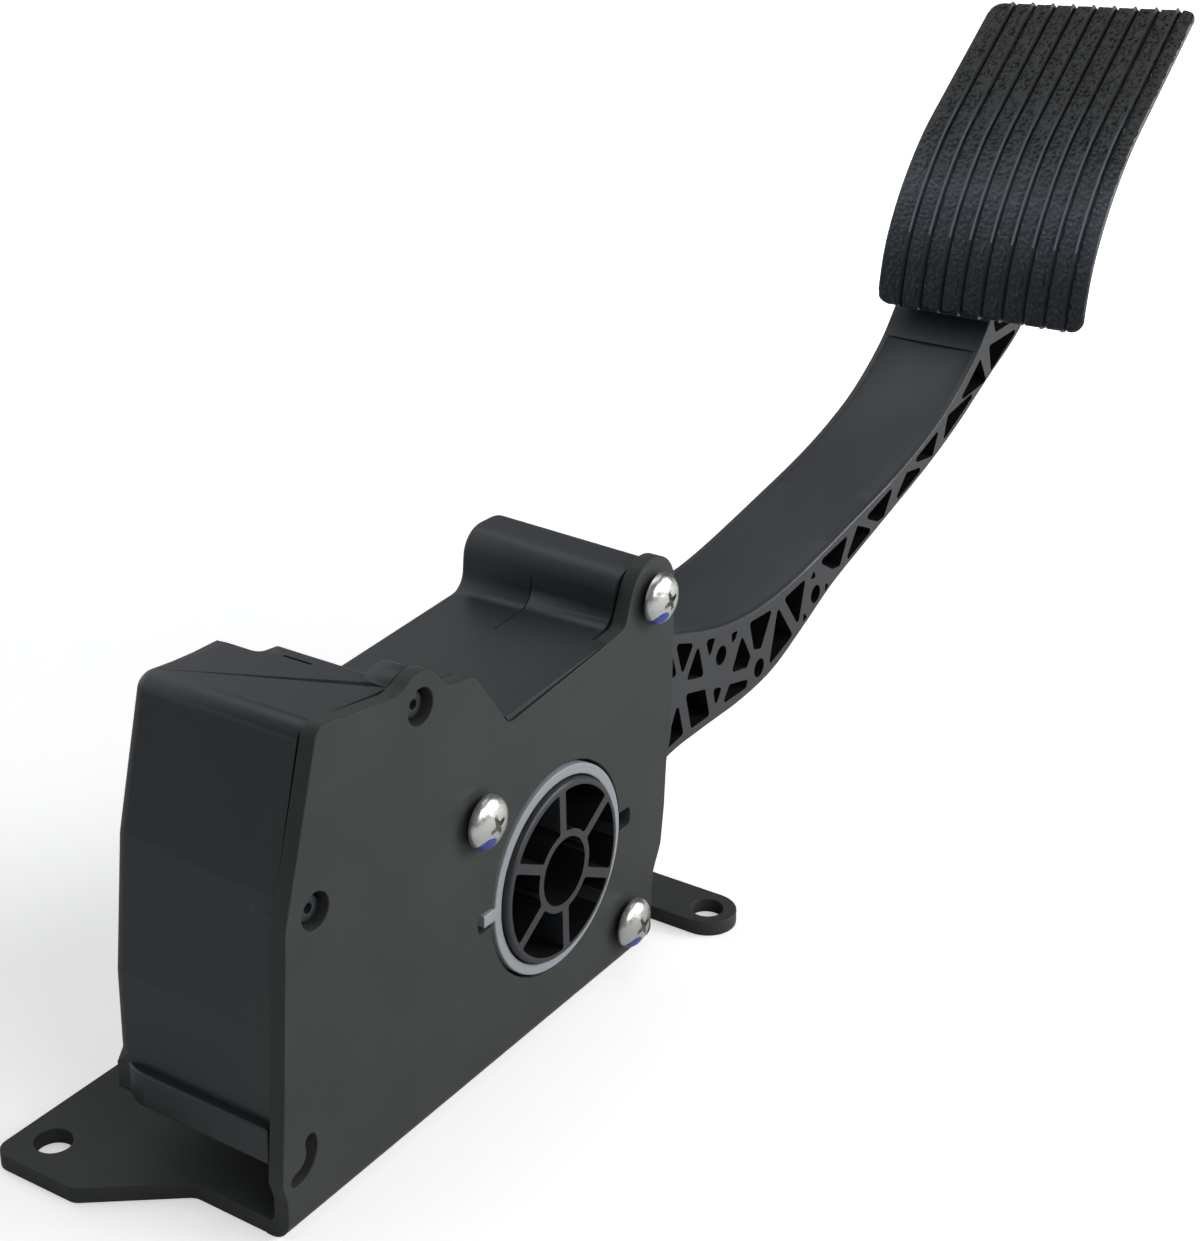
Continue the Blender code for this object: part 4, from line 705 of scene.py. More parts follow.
HUB_PROUD = 1.5
HUB_FACE = PLATE_OUT - HUB_PROUD
HUB_RIM = 1.2
HUB_BORE_R = 6.55
HUB_BORE_WALL = 1.4
SPOKE_WIDTH = 1.9
SPOKE_COUNT = 6
SPOKE_START = 33.0
ARM_NEAR = -ARM_WIDTH / 2
ARM_FAR = ARM_WIDTH / 2
ARM_WEB = 2.0
POCKET_CORNER = 0.7
PIN_BOSS_R, PIN_HOLE_R, PIN_HOLE_DEPTH = 3.3, 2.05, 8.0
MAGNET_R, MAGNET_T = 5.7, 2.5
LEVER_WIDTH = 18.0
UPPER_CHORD = [(-9.0, 47.0), (2.0, 54.5), (14.0, 60.5), (26.0, 63.0), (37.0, 62.3), (48.7, 59.0),
               (62.8, 54.9), (75.2, 52.8), (87.9, 52.6), (101.0, 54.1), (121.6, 58.0), (143.4, 62.6),
               (158.3, 67.0), (170.6, 72.2), (182.6, 80.2), (191.0, 89.0)]
LOWER_CHORD = [(6.0, 16.2), (20.0, 22.5), (35.0, 29.5), (47.7, 33.0), (60.0, 33.6), (76.0, 33.8),
               (89.5, 35.7), (102.5, 40.8), (115.8, 46.6), (137.0, 53.0), (159.5, 59.8), (175.1, 65.6),
               (190.8, 73.0), (208.0, 81.0), (219.0, 91.0), (226.0, 103.0), (229.5, 117.0), (228.0, 130.0)]
PIN_BOSSES = [(67.0, 47.5), (83.2, 38.5), (107.1, 46.8)]
POCKETS = [
    [(190.2, 81.7), (208.0, 82.2), (192.7, 74.8)],
    [(185.8, 79.6), (190.4, 73.0), (175.2, 71.6)],
    [(186.7, 72.6), (167.8, 64.0), (169.4, 70.0)],
    [(165.2, 67.9), (162.6, 62.0), (151.1, 63.3)],
    [(149.1, 62.0), (159.0, 60.8), (143.0, 56.0)],
    [(142.7, 60.8), (138.6, 54.6), (135.5, 54.4), (128.8, 57.3)],
    [(125.5, 56.7), (133.4, 53.3), (120.4, 49.4)],
    [(121.2, 56.0), (118.0, 49.6), (114.4, 50.1), (107.8, 53.9)],
    [(102.1, 52.1), (99.8, 42.1), (92.7, 50.8)],
    [(90.2, 49.9), (97.6, 40.7), (87.5, 37.3)],
    [(87.8, 50.2), (83.6, 42.7), (80.6, 43.6), (78.2, 50.6)],
    [(75.3, 48.9), (79.4, 42.6), (77.9, 40.6), (71.6, 41.9)],
    [(64.4, 52.4), (63.6, 51.0), (62.4, 48.6), (60.6, 53.2)],
    [(57.7, 53.4), (60.4, 45.4), (53.5, 47.2)],
    [(49.0, 56.8), (55.9, 54.4), (51.9, 48.9)],
    [(78.8, 37.6), (70.9, 39.5), (68.3, 36.0), (77.9, 35.9)],
    [(67.8, 40.2), (64.2, 41.2), (65.5, 36.3)],
    [(61.1, 42.3), (53.3, 44.3), (56.0, 35.6), (63.2, 35.6)],
    [(50.5, 43.6), (53.1, 35.6), (46.0, 34.8)],
    [(47.0, 57.2), (49.8, 49.8), (38.0, 50.0), (37.0, 59.4)],
    [(48.0, 46.8), (43.6, 35.0), (37.0, 33.0), (34.0, 46.6)],
    [(34.6, 59.6), (35.4, 50.0), (24.6, 49.0), (23.8, 59.4)],
    [(31.4, 46.4), (34.4, 32.2), (24.0, 28.4), (21.6, 44.8)],
    [(191.8, 86.8), (193.4, 84.2), (206.4, 84.6), (199.4, 95.0)],
    [(201.5, 97.0), (209.0, 86.4), (216.4, 93.4), (208.0, 108.4)],
    [(210.0, 111.4), (218.4, 96.6), (223.2, 105.6), (219.4, 119.6)],
]
SLIVERS = [
    [(105.7, 52.7), (106.8, 50.9), (104.2, 51.0)],
    [(111.6, 47.8), (113.1, 46.9), (111.4, 45.4)],
    [(102.0, 44.4), (103.8, 42.6), (102.0, 42.0)],
    [(73.5, 50.6), (72.6, 49.1), (71.1, 48.6), (71.0, 50.9)],
]
PAD_FACE = [(184.0, 88.8), (183.6, 92.0), (185.4, 102.0), (189.2, 110.5), (195.0, 119.0), (203.0, 127.5),
            (214.0, 135.8), (226.0, 144.6), (238.0, 153.4)]
PAD_WIDTH = 52.0
PAD_Y = -11.5
PAD_TWIST = (1.1, 2.9)      # how much higher its near side sits, at the foot and at the top
PAD_T = 4.5
CARRIER_T = 3.0
CARRIER_INSET = 4.2
PANEL_X = 185.6             # the dished web ends here in a small step


def smooth(points, steps=6):
    """A Catmull-Rom curve through the points."""
    nodes = [Vector(point) for point in points]
    nodes = [2 * nodes[0] - nodes[1]] + nodes + [2 * nodes[-1] - nodes[-2]]
    curve = []
    for index in range(1, len(nodes) - 2):
        a, b, c, d = nodes[index - 1:index + 3]
        for step in range(steps):
            t = step / steps
            curve.append(0.5 * (2 * b + (c - a) * t + (2 * a - 5 * b + 4 * c - d) * t * t
                                + (3 * b - a - 3 * c + d) * t ** 3))
    curve.append(nodes[-2])
    return [tuple(point) for point in curve]


def along(curve, index):
    """Direction of the curve at one of its points."""
    back = Vector(curve[max(index - 1, 0)])
    ahead = Vector(curve[min(index + 1, len(curve) - 1)])
    return (ahead - back).normalized()


def shifted(curve, distance):
    """The curve moved sideways: a positive distance lies to its left."""
    moved = []
    for index, point in enumerate(curve):
        way = along(curve, index)
        moved.append((point[0] - way.y * distance, point[1] + way.x * distance))
    return moved


def swept(name, section, path):
    """A closed section (y, height) carried along a path in the x, z plane, square to it."""
    work = bmesh.new()
    rows = []
    for index, (x, z) in enumerate(path):
        way = along(path, index)
        rows.append([work.verts.new(Vector((x - way.y * height, y, z + way.x * height)) * MM)
                     for y, height in section])
    count = len(section)
    for row, following in zip(rows, rows[1:]):
        for index in range(count):
            after = (index + 1) % count
            work.faces.new((row[index], row[after], following[after], following[index]))
    work.faces.new(rows[0])
    work.faces.new(rows[-1][::-1])
    return skinned(name, work)


def window_loops(inner, outer):
    """The windows between the hub's spokes."""
    loops = []
    for index in range(SPOKE_COUNT):
        start = SPOKE_START + index * 360 / SPOKE_COUNT
        stop = start + 360 / SPOKE_COUNT
        wide = math.degrees(math.asin(SPOKE_WIDTH / 2 / outer))
        tight = math.degrees(math.asin(SPOKE_WIDTH / 2 / inner))
        rim = arc(0, HUB_Z, outer, start + wide, stop - wide, 12)
        core = arc(0, HUB_Z, inner, stop - tight, start + tight, 5)
        corners = [(x, z, 1.3 if place in (0, 12) else 0.0) for place, (x, z, _) in enumerate(rim)]
        corners += [(x, z, 0.6 if place in (0, 5) else 0.0) for place, (x, z, _) in enumerate(core)]
        loops.append(rounded(corners, 20))
    return loops


def pad_lift(place):
    """How far a point of the pad is raised, because the pad is set on the arm with a slight twist."""
    foot, head = PAD_FACE[0][1], PAD_FACE[-1][1]
    up = (place.z / MM - foot) / (head - foot)
    near = (PAD_Y + PAD_WIDTH / 2 - place.y / MM) / PAD_WIDTH
    return near * (PAD_TWIST[0] + (PAD_TWIST[1] - PAD_TWIST[0]) * up) * MM


def arm_outline():
    """Outline of the arm, from the hub out to the plate behind the pad and back."""
    face = smooth(PAD_FACE, 3)
    top = shifted(face, -(PAD_T + FIT + 1.0))[1:20]
    upper = [point for point in smooth(UPPER_CHORD) if point[0] < 190.0]
    return upper + [point for point in top if point[1] > 88.0] + smooth(LOWER_CHORD)[::-1]


def mould_arm():
    """Join hub, beam, lever and pad plate, then core the pockets, windows and bores."""
    arm = slab("pedal_arm_moulded", [arm_outline()], ARM_NEAR, ARM_FAR, edge=0.45)
    hub = drum("hub", HUB_R, HUB_FACE, ARM_FAR, 0, HUB_Z, 96, 0.7)
    journal = drum("journal", JOURNAL_R, ARM_FAR - 1, FAR_OUT + 1.0, 0, HUB_Z, 64, 0.3)
    lever_shape = [(-9.0, 46.5, 0), (-28.0, 38.5, 8), (-40.0, LEVER_TOP, 6), (-62.5, LEVER_TOP, 2),
                   (-64.0, LEVER_LOW, 2), (-44.0, LEVER_LOW, 8), (-14.0, 29.5, 0)]
    lever = slab("lever", [rounded(lever_shape)], -LEVER_WIDTH / 2, LEVER_WIDTH / 2, edge=0.4)
    face = smooth(PAD_FACE, 3)[1:-1]
    carrier_outline = shifted(face, -(PAD_T + FIT)) + shifted(face, -(PAD_T + FIT + CARRIER_T))[::-1]
    carrier = slab("carrier", [carrier_outline], PAD_Y - PAD_WIDTH / 2 + CARRIER_INSET,
                   PAD_Y + PAD_WIDTH / 2 - CARRIER_INSET)
    for vert in carrier.data.vertices:
        vert.co.z += pad_lift(vert.co)
    combined(arm, [hub, journal, lever, carrier], "UNION")

    web = ARM_WEB / 2
    pockets = [rounded([(x, z, POCKET_CORNER) for x, z in pocket], 20) for pocket in POCKETS]
    pockets += [rounded([(x, z, 0.3) for x, z in sliver], 30) for sliver in SLIVERS]
    rim_in = HUB_R - HUB_RIM
    cuts = [slab("near_pockets", pockets, ARM_NEAR - 1, -web),
            slab("far_pockets", pockets, web, ARM_FAR + 1),
            slab("windows", window_loops(HUB_BORE_R + HUB_BORE_WALL, rim_in), HUB_FACE - 1, -web),
            slab("far_windows", window_loops(JOURNAL_R + 1.2, rim_in), web, ARM_FAR + 1),
            drum("hub_bore", HUB_BORE_R, HUB_FACE - 1, -web, 0, HUB_Z, 56),
            drum("magnet_pocket", MAGNET_R + FIT, FAR_OUT + 1.0 - MAGNET_T, FAR_OUT + 2, 0, HUB_Z, 40)]
    dish = [(-11.3, 3.0), (-11.3, -0.15), (-10.9, -0.35), (-6.5, -0.6), (1.5, -0.8), (3.5, -0.7),
            (10.6, -0.3), (11.2, 0.05), (11.2, 3.0)]
    top = [point for point in smooth(UPPER_CHORD) if 30.0 < point[0] < PANEL_X]
    cuts.append(swept("dish", dish, top))
    combined(arm, cuts, "DIFFERENCE")
    bosses, holes = [], []
    for x, z in PIN_BOSSES:
        bosses.append(drum("pin_boss", PIN_BOSS_R, ARM_NEAR + 0.15, ARM_FAR - 0.15, x, z, 32))
        holes += [drum("pin_hole_near", PIN_HOLE_R, ARM_NEAR - 1, ARM_NEAR + PIN_HOLE_DEPTH, x, z, 28),
                  drum("pin_hole_far", PIN_HOLE_R, ARM_FAR - PIN_HOLE_DEPTH, ARM_FAR + 1, x, z, 28)]
    combined(arm, bosses, "UNION")
    combined(arm, holes, "DIFFERENCE")
    return arm


nylon = moulded_polyamide("glass_filled_nylon", "#272a2e", "#2c2f33", 0.3, (0.36, 0.48))
arm = dressed(mould_arm(), nylon, "arm", ["pedal_arm"])
arm_faces = [face.vertices for face in arm.data.polygons]
arm_skin = BVHTree.FromPolygons([vert.co for vert in arm.data.vertices], arm_faces)


def is_cored(face):
    """Whether a core left this face: a pocket's floor, or a wall that looks across at another; these faces
    take the painted pocket shade.
    """
    depth = abs(face.center.y) / MM
    if abs(face.normal.y) > 0.9:
        return depth < ARM_WEB / 2 + 0.5
    if not ARM_WEB / 2 + 1 < depth < ARM_FAR - 1:
        return False
    return arm_skin.ray_cast(face.center + face.normal * 0.1 * MM, face.normal, 30 * MM)[0] is not None


# Painted shade: darker than the rest of the same moulding, to stand for the deep shadow inside the pockets.
pocket_shade = moulded_polyamide("nylon_painted_pocket_shade", "#08090b", "#0c0d0f", 0.3, (0.6, 0.75), 0.2)
second_finish(arm, pocket_shade, is_cored)


# The pad: a black rubber cover moulded over the arm's plate.  Nine thin ribs run down it,
# each with a groove beside it, and the strips between them carry a coarse leather grain.

PAD_RIBS = 9
PAD_RIB_W = 0.7
PAD_RIB_H = 0.6
PAD_GROOVE_W = 0.9
PAD_GROOVE_D = 0.7
RIB_SLOPE, GROOVE_SLOPE = 0.3, 0.35         # share of its width that each flank takes
PAD_CORNER = 3.6
PAD_STEP = 0.33             # spacing of the points that carry the grain
GRAIN_SIZE = 1.25
GRAIN_DEPTH = 0.42
GRAIN_FADE = 1.5            # the grain fades out this near to the pad's rim
CREASE_WIDTH = 0.35         # as a share of a pebble
SWELL_SIZE, SWELL_DEPTH = 0.8, 0.12
PAD_EDGE = 0.5
PAD_END_R = 0.9
PAD_RIM = 0.8               # the straight part of its side, in front of the tapered back
PAD_TAPER = 3.5


def rib_profile(across):
    """Height of the pad's face at a distance from its middle, and how much grain it has there."""
    half = PAD_WIDTH / 2
    pitch = PAD_WIDTH / (PAD_RIBS + 1)
    place = (across + half) % pitch
    number = round((across + half - place) / pitch)
    height, grain = 0.0, 1.0
    back = pitch - place
    if number < PAD_RIBS:
        groove = PAD_RIB_W + PAD_GROOVE_W
        if back < PAD_RIB_W:
            edge = min(back, PAD_RIB_W - back) / (PAD_RIB_W * RIB_SLOPE)
            height, grain = PAD_RIB_H * min(edge, 1.0), 0.0
        elif back < groove:
            edge = min(back - PAD_RIB_W, groove - back) / (PAD_GROOVE_W * GROOVE_SLOPE)
            height, grain = -PAD_GROOVE_D * min(edge, 1.0), 0.0
    rim = half - abs(across)
    if rim < PAD_EDGE:
        height -= PAD_EDGE - math.sqrt(max(PAD_EDGE ** 2 - (PAD_EDGE - rim) ** 2, 0.0))
    return height, grain


def pad_columns():
    """Where the pad's points lie across it: evenly in the strips, and on each edge of a rib or groove."""
    pitch = PAD_WIDTH / (PAD_RIBS + 1)
    groove = PAD_RIB_W + PAD_GROOVE_W
    places = []
    for number in range(PAD_RIBS + 1):
        start = number * pitch - PAD_WIDTH / 2
        strip = pitch - groove if number < PAD_RIBS else pitch
        count = round(strip / PAD_STEP)
        places += [start + strip * index / count for index in range(count)]
        if number < PAD_RIBS:
            slope = GROOVE_SLOPE * PAD_GROOVE_W
            backs = (groove, groove - slope, PAD_RIB_W + slope, PAD_RIB_W, (1 - RIB_SLOPE) * PAD_RIB_W,
                     RIB_SLOPE * PAD_RIB_W)
            places += [start + pitch - back for back in backs]
    return places + [PAD_WIDTH / 2]


def grain_height(across, length):
    """Leather grain: flat pebbles with fine creases between them."""
    place = Vector((across / GRAIN_SIZE, length / GRAIN_SIZE, 3.7))
    nearest = noise.voronoi(place, distance_metric="DISTANCE")[0]
    crease = min((nearest[1] - nearest[0]) / CREASE_WIDTH, 1.0)
    swell = noise.noise(Vector((across / SWELL_SIZE, length / SWELL_SIZE, 0.0)))
    return GRAIN_DEPTH * (crease - 0.75) + SWELL_DEPTH * swell


def resampled(curve, step):
    """Points at an even spacing along a curve, each with its distance from the start."""
    points = [(Vector(curve[0]), 0.0)]
    length = 0.0
    for start, stop in zip(curve, curve[1:]):
        start, stop = Vector(start), Vector(stop)
        span = (stop - start).length
        count = max(1, round(span / step))
        for piece in range(1, count + 1):
            points.append((start.lerp(stop, piece / count), length + span * piece / count))
        length += span
    return points, length


def mould_pad():
    """The grained face, its side walls and its flat back as one closed skin."""
    path, length = resampled(smooth(PAD_FACE, 8), PAD_STEP)
    line = [tuple(point) for point, _ in path]
    half = PAD_WIDTH / 2
    across = pad_columns()
    work = bmesh.new()
    front, rims, behind = [], [], []
    for index, (point, distance) in enumerate(path):
        end = min(distance, length - distance)
        narrow = PAD_CORNER - math.sqrt(max(PAD_CORNER ** 2 - max(PAD_CORNER - end, 0.0) ** 2, 0.0))
        drop = PAD_END_R - math.sqrt(max(PAD_END_R ** 2 - max(PAD_END_R - end, 0.0) ** 2, 0.0))
        way = along(line, index)
        outward = Vector((-way.y, 0.0, way.x))
        middle = Vector((point.x, PAD_Y, point.y))
        face_row, back_row = [], []
        rim = middle - outward * (drop + PAD_RIM)
        reach = Vector((0, half - narrow, 0))
        rims.append([work.verts.new((rim + reach * side) * MM) for side in (-1, 1)])
        for place in across:
            held = max(-half + narrow, min(half - narrow, place))
            height, grain = rib_profile(place)
            edge = (half - narrow) - abs(held)
            fade = grain * min(edge / GRAIN_FADE, 1.0) * min(end / GRAIN_FADE, 1.0)
            height += fade * grain_height(place, distance) - drop
            if narrow > 0.0:
                height -= max(0.0, 0.8 - edge) * 0.5
            face_row.append(work.verts.new((middle + Vector((0, held, 0)) + outward * height) * MM))
            tucked = held * (half - PAD_TAPER) / half
            back_row.append(work.verts.new((middle + Vector((0, tucked, 0)) - outward * PAD_T) * MM))
        front.append(face_row)
        behind.append(back_row)
    last = len(across) - 1
    for row in range(len(path) - 1):
        face, next_face = front[row], front[row + 1]
        back, next_back = behind[row], behind[row + 1]
        for column in range(last):
            after = column + 1
            work.faces.new((face[column], face[after], next_face[after], next_face[column]))
            work.faces.new((back[column], next_back[column], next_back[after], back[after]))
        for side, rim in ((0, 0), (last, 1)):
            work.faces.new((face[side], next_face[side], rims[row + 1][rim], rims[row][rim]))
            work.faces.new((rims[row][rim], rims[row + 1][rim], next_back[side], back[side]))
    for face, rim, back in ((front[0], rims[0], behind[0]), (front[-1], rims[-1], behind[-1])):
        for side, corner in ((0, rim[0]), (last, rim[1])):
            work.faces.new((face[side], corner, back[side]))
        for column in range(last):
            work.faces.new((face[column], face[column + 1], back[column + 1], back[column]))
    for vert in work.verts:
        vert.co.z += pad_lift(vert.co)
    bmesh.ops.remove_doubles(work, verts=work.verts, dist=0.002 * MM)
    bmesh.ops.dissolve_degenerate(work, edges=work.edges, dist=0.001 * MM)
    return skinned("pedal_pad_grained", work)


# The pad's pale band and bright ribs are colours by height: a painted highlight across the middle of the pad
# and on the lower ribs, and painted shade towards the top.  They stand for the light that lies along the
# curve of a real pad, so they stay where they are when the light or the view changes.
BAND_LOW, BAND_HIGH = 90.0, 158.0
PAD_PAINTED_LIGHT_BAND = ((0.0, "#1f242a"), (0.22, "#2a3037"), (0.46, "#4a5158"), (0.62, "#1b1e21"), (1.0, "#0d0f11"))
RIB_PAINTED_HIGHLIGHT = ((0.0, "#747b83"), (0.3, "#787f87"), (0.55, "#6a7178"), (0.75, "#24282c"), (1.0, "#15181a"))


def grained_rubber(name="carbon_black_rubber_with_painted_band", band=PAD_PAINTED_LIGHT_BAND):
    """Carbon-black rubber: nearly black and dull, in large patches a little shinier than others, and coloured
    by height with a band of painted highlight and shade.
    """
    material, tree, shader, where = new_finish(name)
    patches = (spots(tree, where, 14, 4.0), "Fac")
    pores = (spots(tree, where, 0.25, 3.0), "Fac")
    split = node(tree, "SeparateXYZ", links={"Vector": (where, "Object")})
    uneven = node(tree, "Math", {"operation": "MULTIPLY_ADD", 1: 8 * MM},
                  {0: patches, 2: (split, "Z")})
    height = node(tree, "MapRange", {"From Min": BAND_LOW * MM, "From Max": BAND_HIGH * MM},
                  {"Value": (uneven, 0)})
    coloured(tree, shader, (height, "Result"), band)
    glossed(tree, shader, patches, 0.34, 0.46)
    embossed(tree, shader, pores, 0.25, 0.04)
    return material


rubber = grained_rubber()
pad = dressed(mould_pad(), rubber, "arm", ["pedal_pad"], 50)


def is_rib(face):
    """Whether a face belongs to one of the ribs, which take a brighter painted highlight band than the pad.
    """
    return face.normal.x < 0.3 and rib_profile(face.center.y / MM - PAD_Y)[0] > 0.4 * PAD_RIB_H


# The ribs' brighter colour is a painted highlight, pale on the lower ribs and dark towards the top.
second_finish(pad, grained_rubber("rib_rubber_painted_highlight", RIB_PAINTED_HIGHLIGHT), is_rib)


# The bushings: two rings of pale unfilled acetal that the hub runs in.  The near one shows
# round the hub, and its ear in the plate's notch keeps it from turning.

BUSH_PROUD = 0.4            # the ring stands out of the plate by this much
BUSH_LENGTH = 6.0


def pale_acetal():
    """Natural acetal: a milky grey with a waxy shine, faintly clear at thin edges."""
    material, tree, shader, where = new_finish("natural_acetal")
    haze = (spots(tree, where, 6, 3.0), "Fac")
    coloured(tree, shader, haze, ((0.0, "#8d9096"), (1.0, "#9b9ea4")))
    glossed(tree, shader, haze, 0.34, 0.44)
    return material


def mould_near_bushing():
    """The ring and the ear that sits in the left notch."""
    low = PLATE_OUT - BUSH_PROUD
    loops = [round_hole(0, HUB_Z, BUSH_OUT_R, 96), round_hole(0, HUB_Z, BUSH_IN_R, 96)]
    ring = slab("near_bushing_moulded", loops, low, low + BUSH_LENGTH, edge=0.3)
    ear = block("ear", (-(BUSH_OUT_R + NOTCH_REACH - 0.6), low, HUB_Z - NOTCH_HALF + 1.1),
                (-BUSH_OUT_R + 0.6, PLATE_IN - 0.4, HUB_Z + NOTCH_HALF - FIT), 0.3)
    return combined(ring, [ear], "UNION")


acetal = pale_acetal()
dressed(mould_near_bushing(), acetal, "root", ["near_bushing"])
far_ring_in = JOURNAL_R + FIT
far_ring = slab("far_bushing_moulded", [round_hole(0, HUB_Z, far_ring_in + FAR_BUSH_WALL, 72),
                                        round_hole(0, HUB_Z, far_ring_in, 72)],
                ARM_FAR + 1.0, FAR_OUT - 0.2, edge=0.15)
dressed(far_ring, acetal, "root", ["far_bushing"])


# The three screws: M5 pan heads with a cross recess, cold-headed and zinc-plated bright,
# each with a dab of blue inspection paint at its lower rim.

SCREW_HEAD_R = 4.9
SCREW_NECK_R = 3.0
SCREW_LIFT = 0.9            # the head stands on a short neck, with a dark gap under its rim
SCREW_HEAD_H = 2.9
RECESS_HALF, RECESS_WIDTH, RECESS_DEPTH = 2.0, 0.95, 1.9
PAINT_PLACE = (-1.9, -3.1)
PAINT_SIZE = (1.9, 1.35)


def turned(name, profile, x, z, sides=48):
    """A turned piece about a line along Y through x, z: the profile is (radius, y)."""
    mesh = bpy.data.meshes.new(name)
    mesh.from_pydata([(radius * MM, 0.0, y * MM) for radius, y in profile],
                     [(index, index + 1) for index in range(len(profile) - 1)], [])
    obj = added(name, mesh)
    screw = obj.modifiers.new("turn", "SCREW")
    screw.steps = screw.render_steps = sides
    screw.use_merge_vertices = True
    screw.merge_threshold = 0.00001
    solid = worked_out(obj)
    solid.transform(Matrix.Rotation(math.radians(-90), 4, "X"))
    obj.modifiers.clear()
    obj.data = cleaned(solid)
    obj.location = Vector((x, 0.0, z)) * MM
    bpy.context.view_layer.update()
    return obj


def bright_zinc():
    """Bright zinc plate over cold-headed steel: near-white metal with soft dents and blue paint."""
    material, tree, shader, where = new_finish("bright_zinc_plate")
    split = node(tree, "SeparateXYZ", links={"Vector": (where, "Object")})
    smear = (spots(tree, where, 1.2), "Fac")
    parts = []
    for axis, middle, size in (("X", PAINT_PLACE[0], PAINT_SIZE[0]), ("Z", PAINT_PLACE[1], PAINT_SIZE[1])):
        off = node(tree, "Math", {"operation": "SUBTRACT", 1: middle * MM}, {0: (split, axis)})
        share = node(tree, "Math", {"operation": "DIVIDE", 1: size * MM}, {0: (off, 0)})
        parts.append(node(tree, "Math", {"operation": "MULTIPLY"}, {0: (share, 0), 1: (share, 0)}))
    reach = node(tree, "Math", {"operation": "ADD"}, {0: (parts[0], 0), 1: (parts[1], 0)})
    wobble = node(tree, "Math", {"operation": "MULTIPLY_ADD", 1: 0.7, 2: -0.35}, {0: smear})
    ragged = node(tree, "Math", {"operation": "ADD"}, {0: (reach, 0), 1: (wobble, 0)})
    paint = node(tree, "MapRange", {"From Min": 1.06, "From Max": 0.94}, {"Value": (ragged, 0)})
    tone = node(tree, "Mix", {"data_type": "RGBA"}, {"Factor": (paint, "Result")})
    tone.inputs[6].default_value = srgb("#e2e4df")
    tone.inputs[7].default_value = srgb("#34439a")
    tree.links.new(tone.outputs[2], shader.inputs["Base Color"])
    metal = node(tree, "MapRange", {"To Min": 1.0, "To Max": 0.0}, {"Value": (paint, "Result")})
    tree.links.new(metal.outputs["Result"], shader.inputs["Metallic"])
    glossed(tree, shader, smear, 0.2, 0.42)
    embossed(tree, shader, smear, 0.6, 0.2)
    return material


def head_screw(name, x, z):
    """One screw: domed head, cross recess and threaded shank."""
    low = PLATE_OUT - FIT - SCREW_LIFT
    profile = [(0.0, low - SCREW_HEAD_H)]
    for step in range(1, 9):
        angle = math.radians(90 * step / 8)
        height = 0.5 + (SCREW_HEAD_H - 0.5) * math.cos(angle)
        profile.append((SCREW_HEAD_R * math.sin(angle) ** 0.92, low - height))
    profile += [(SCREW_HEAD_R, low - 0.2), (SCREW_HEAD_R - 0.3, low), (SCREW_NECK_R, low),
                (SCREW_NECK_R, low + SCREW_LIFT), (SCREW_SHANK_R, low + SCREW_LIFT)]
    pitch = 0.8
    y = low + SCREW_LIFT + 4.0
    while y < HOUSING_NEAR + SCREW_LENGTH - 2.0:
        profile += [(SCREW_SHANK_R - 0.4, y), (SCREW_SHANK_R, y + pitch / 2)]
        y += pitch
    end = HOUSING_NEAR + SCREW_LENGTH - 0.6
    profile += [(SCREW_SHANK_R * 0.6, end), (0.0, end)]
    screw = turned(name + "_plated", profile[::-1], x, z)
    recess = []
    for turn in (20, 110):
        way = Vector((math.cos(math.radians(turn)), math.sin(math.radians(turn))))
        side = Vector((-way.y, way.x))
        corners = []
        for reach, width in ((RECESS_HALF, 0.36), (0.6, 0.6), (-0.6, 0.6), (-RECESS_HALF, 0.36)):
            corners.append(way * reach + side * (RECESS_WIDTH * width))
        corners += [-corner for corner in corners]
        loop = [(x + corner.x, z + corner.y) for corner in corners]
        top = low - SCREW_HEAD_H
        recess.append(slab("recess_%d" % turn, [loop], top - 1, top + RECESS_DEPTH))
    return combined(screw, recess, "DIFFERENCE")


zinc = bright_zinc()
for screw_name, (screw_x, screw_z) in SCREWS.items():
    dressed(head_screw(screw_name, screw_x, screw_z), zinc, "root", [screw_name], 35)


# The return springs: two nested coils of drawn spring wire between the cup on the short
# lever and the top of the housing.

SEAT_R, SEAT_T = 9.3, 2.0
OUTER_WIRE_R, OUTER_TURNS = 0.9, 6
INNER_COIL_R, INNER_WIRE_R, INNER_TURNS = 5.4, 0.7, 8
SPRING_LOW = LEVER_TOP + FIT + SEAT_T + FIT
SPRING_HIGH = SPRING_TOP - FIT


def drawn_wire():
    """Patented spring wire: grey steel, finely mottled by drawing."""
    material, tree, shader, where = new_finish("drawn_spring_wire")
    coloured(tree, shader, (spots(tree, where, 0.5), "Fac"), ((0.0, "#7c7c7e"), (1.0, "#a0a0a2")))
    shader.inputs["Metallic"].default_value = 1.0
    shader.inputs["Roughness"].default_value = 0.35
    return material


def wound(name, radius, wire_radius, turns, per_turn=28):
    """A compression spring along Z with closed end turns."""
    curve = bpy.data.curves.new(name, "CURVE")
    curve.dimensions = "3D"
    curve.bevel_depth = wire_radius * MM
    curve.bevel_resolution = 3
    curve.use_fill_caps = True
    spline = curve.splines.new("POLY")
    count = turns * per_turn
    spline.points.add(count)
    bottom, top = SPRING_LOW + wire_radius, SPRING_HIGH - wire_radius
    closed = 0.8 / turns
    flat = 1.5 * wire_radius
    for index, point in enumerate(spline.points):
        t = index / count
        if t < closed:
            z = bottom + flat * t / closed
        elif t > 1 - closed:
            z = top - flat * (1 - t) / closed
        else:
            z = bottom + flat + (top - bottom - 2 * flat) * (t - closed) / (1 - 2 * closed)
        angle = 2 * math.pi * turns * t
        point.co = ((SPRING_X + radius * math.cos(angle)) * MM, radius * math.sin(angle) * MM, z * MM, 1.0)
    path = added(name + "_path", curve)
    mesh = worked_out(path)
    bpy.data.objects.remove(path, do_unlink=True)
    return added(name, cleaned(mesh))


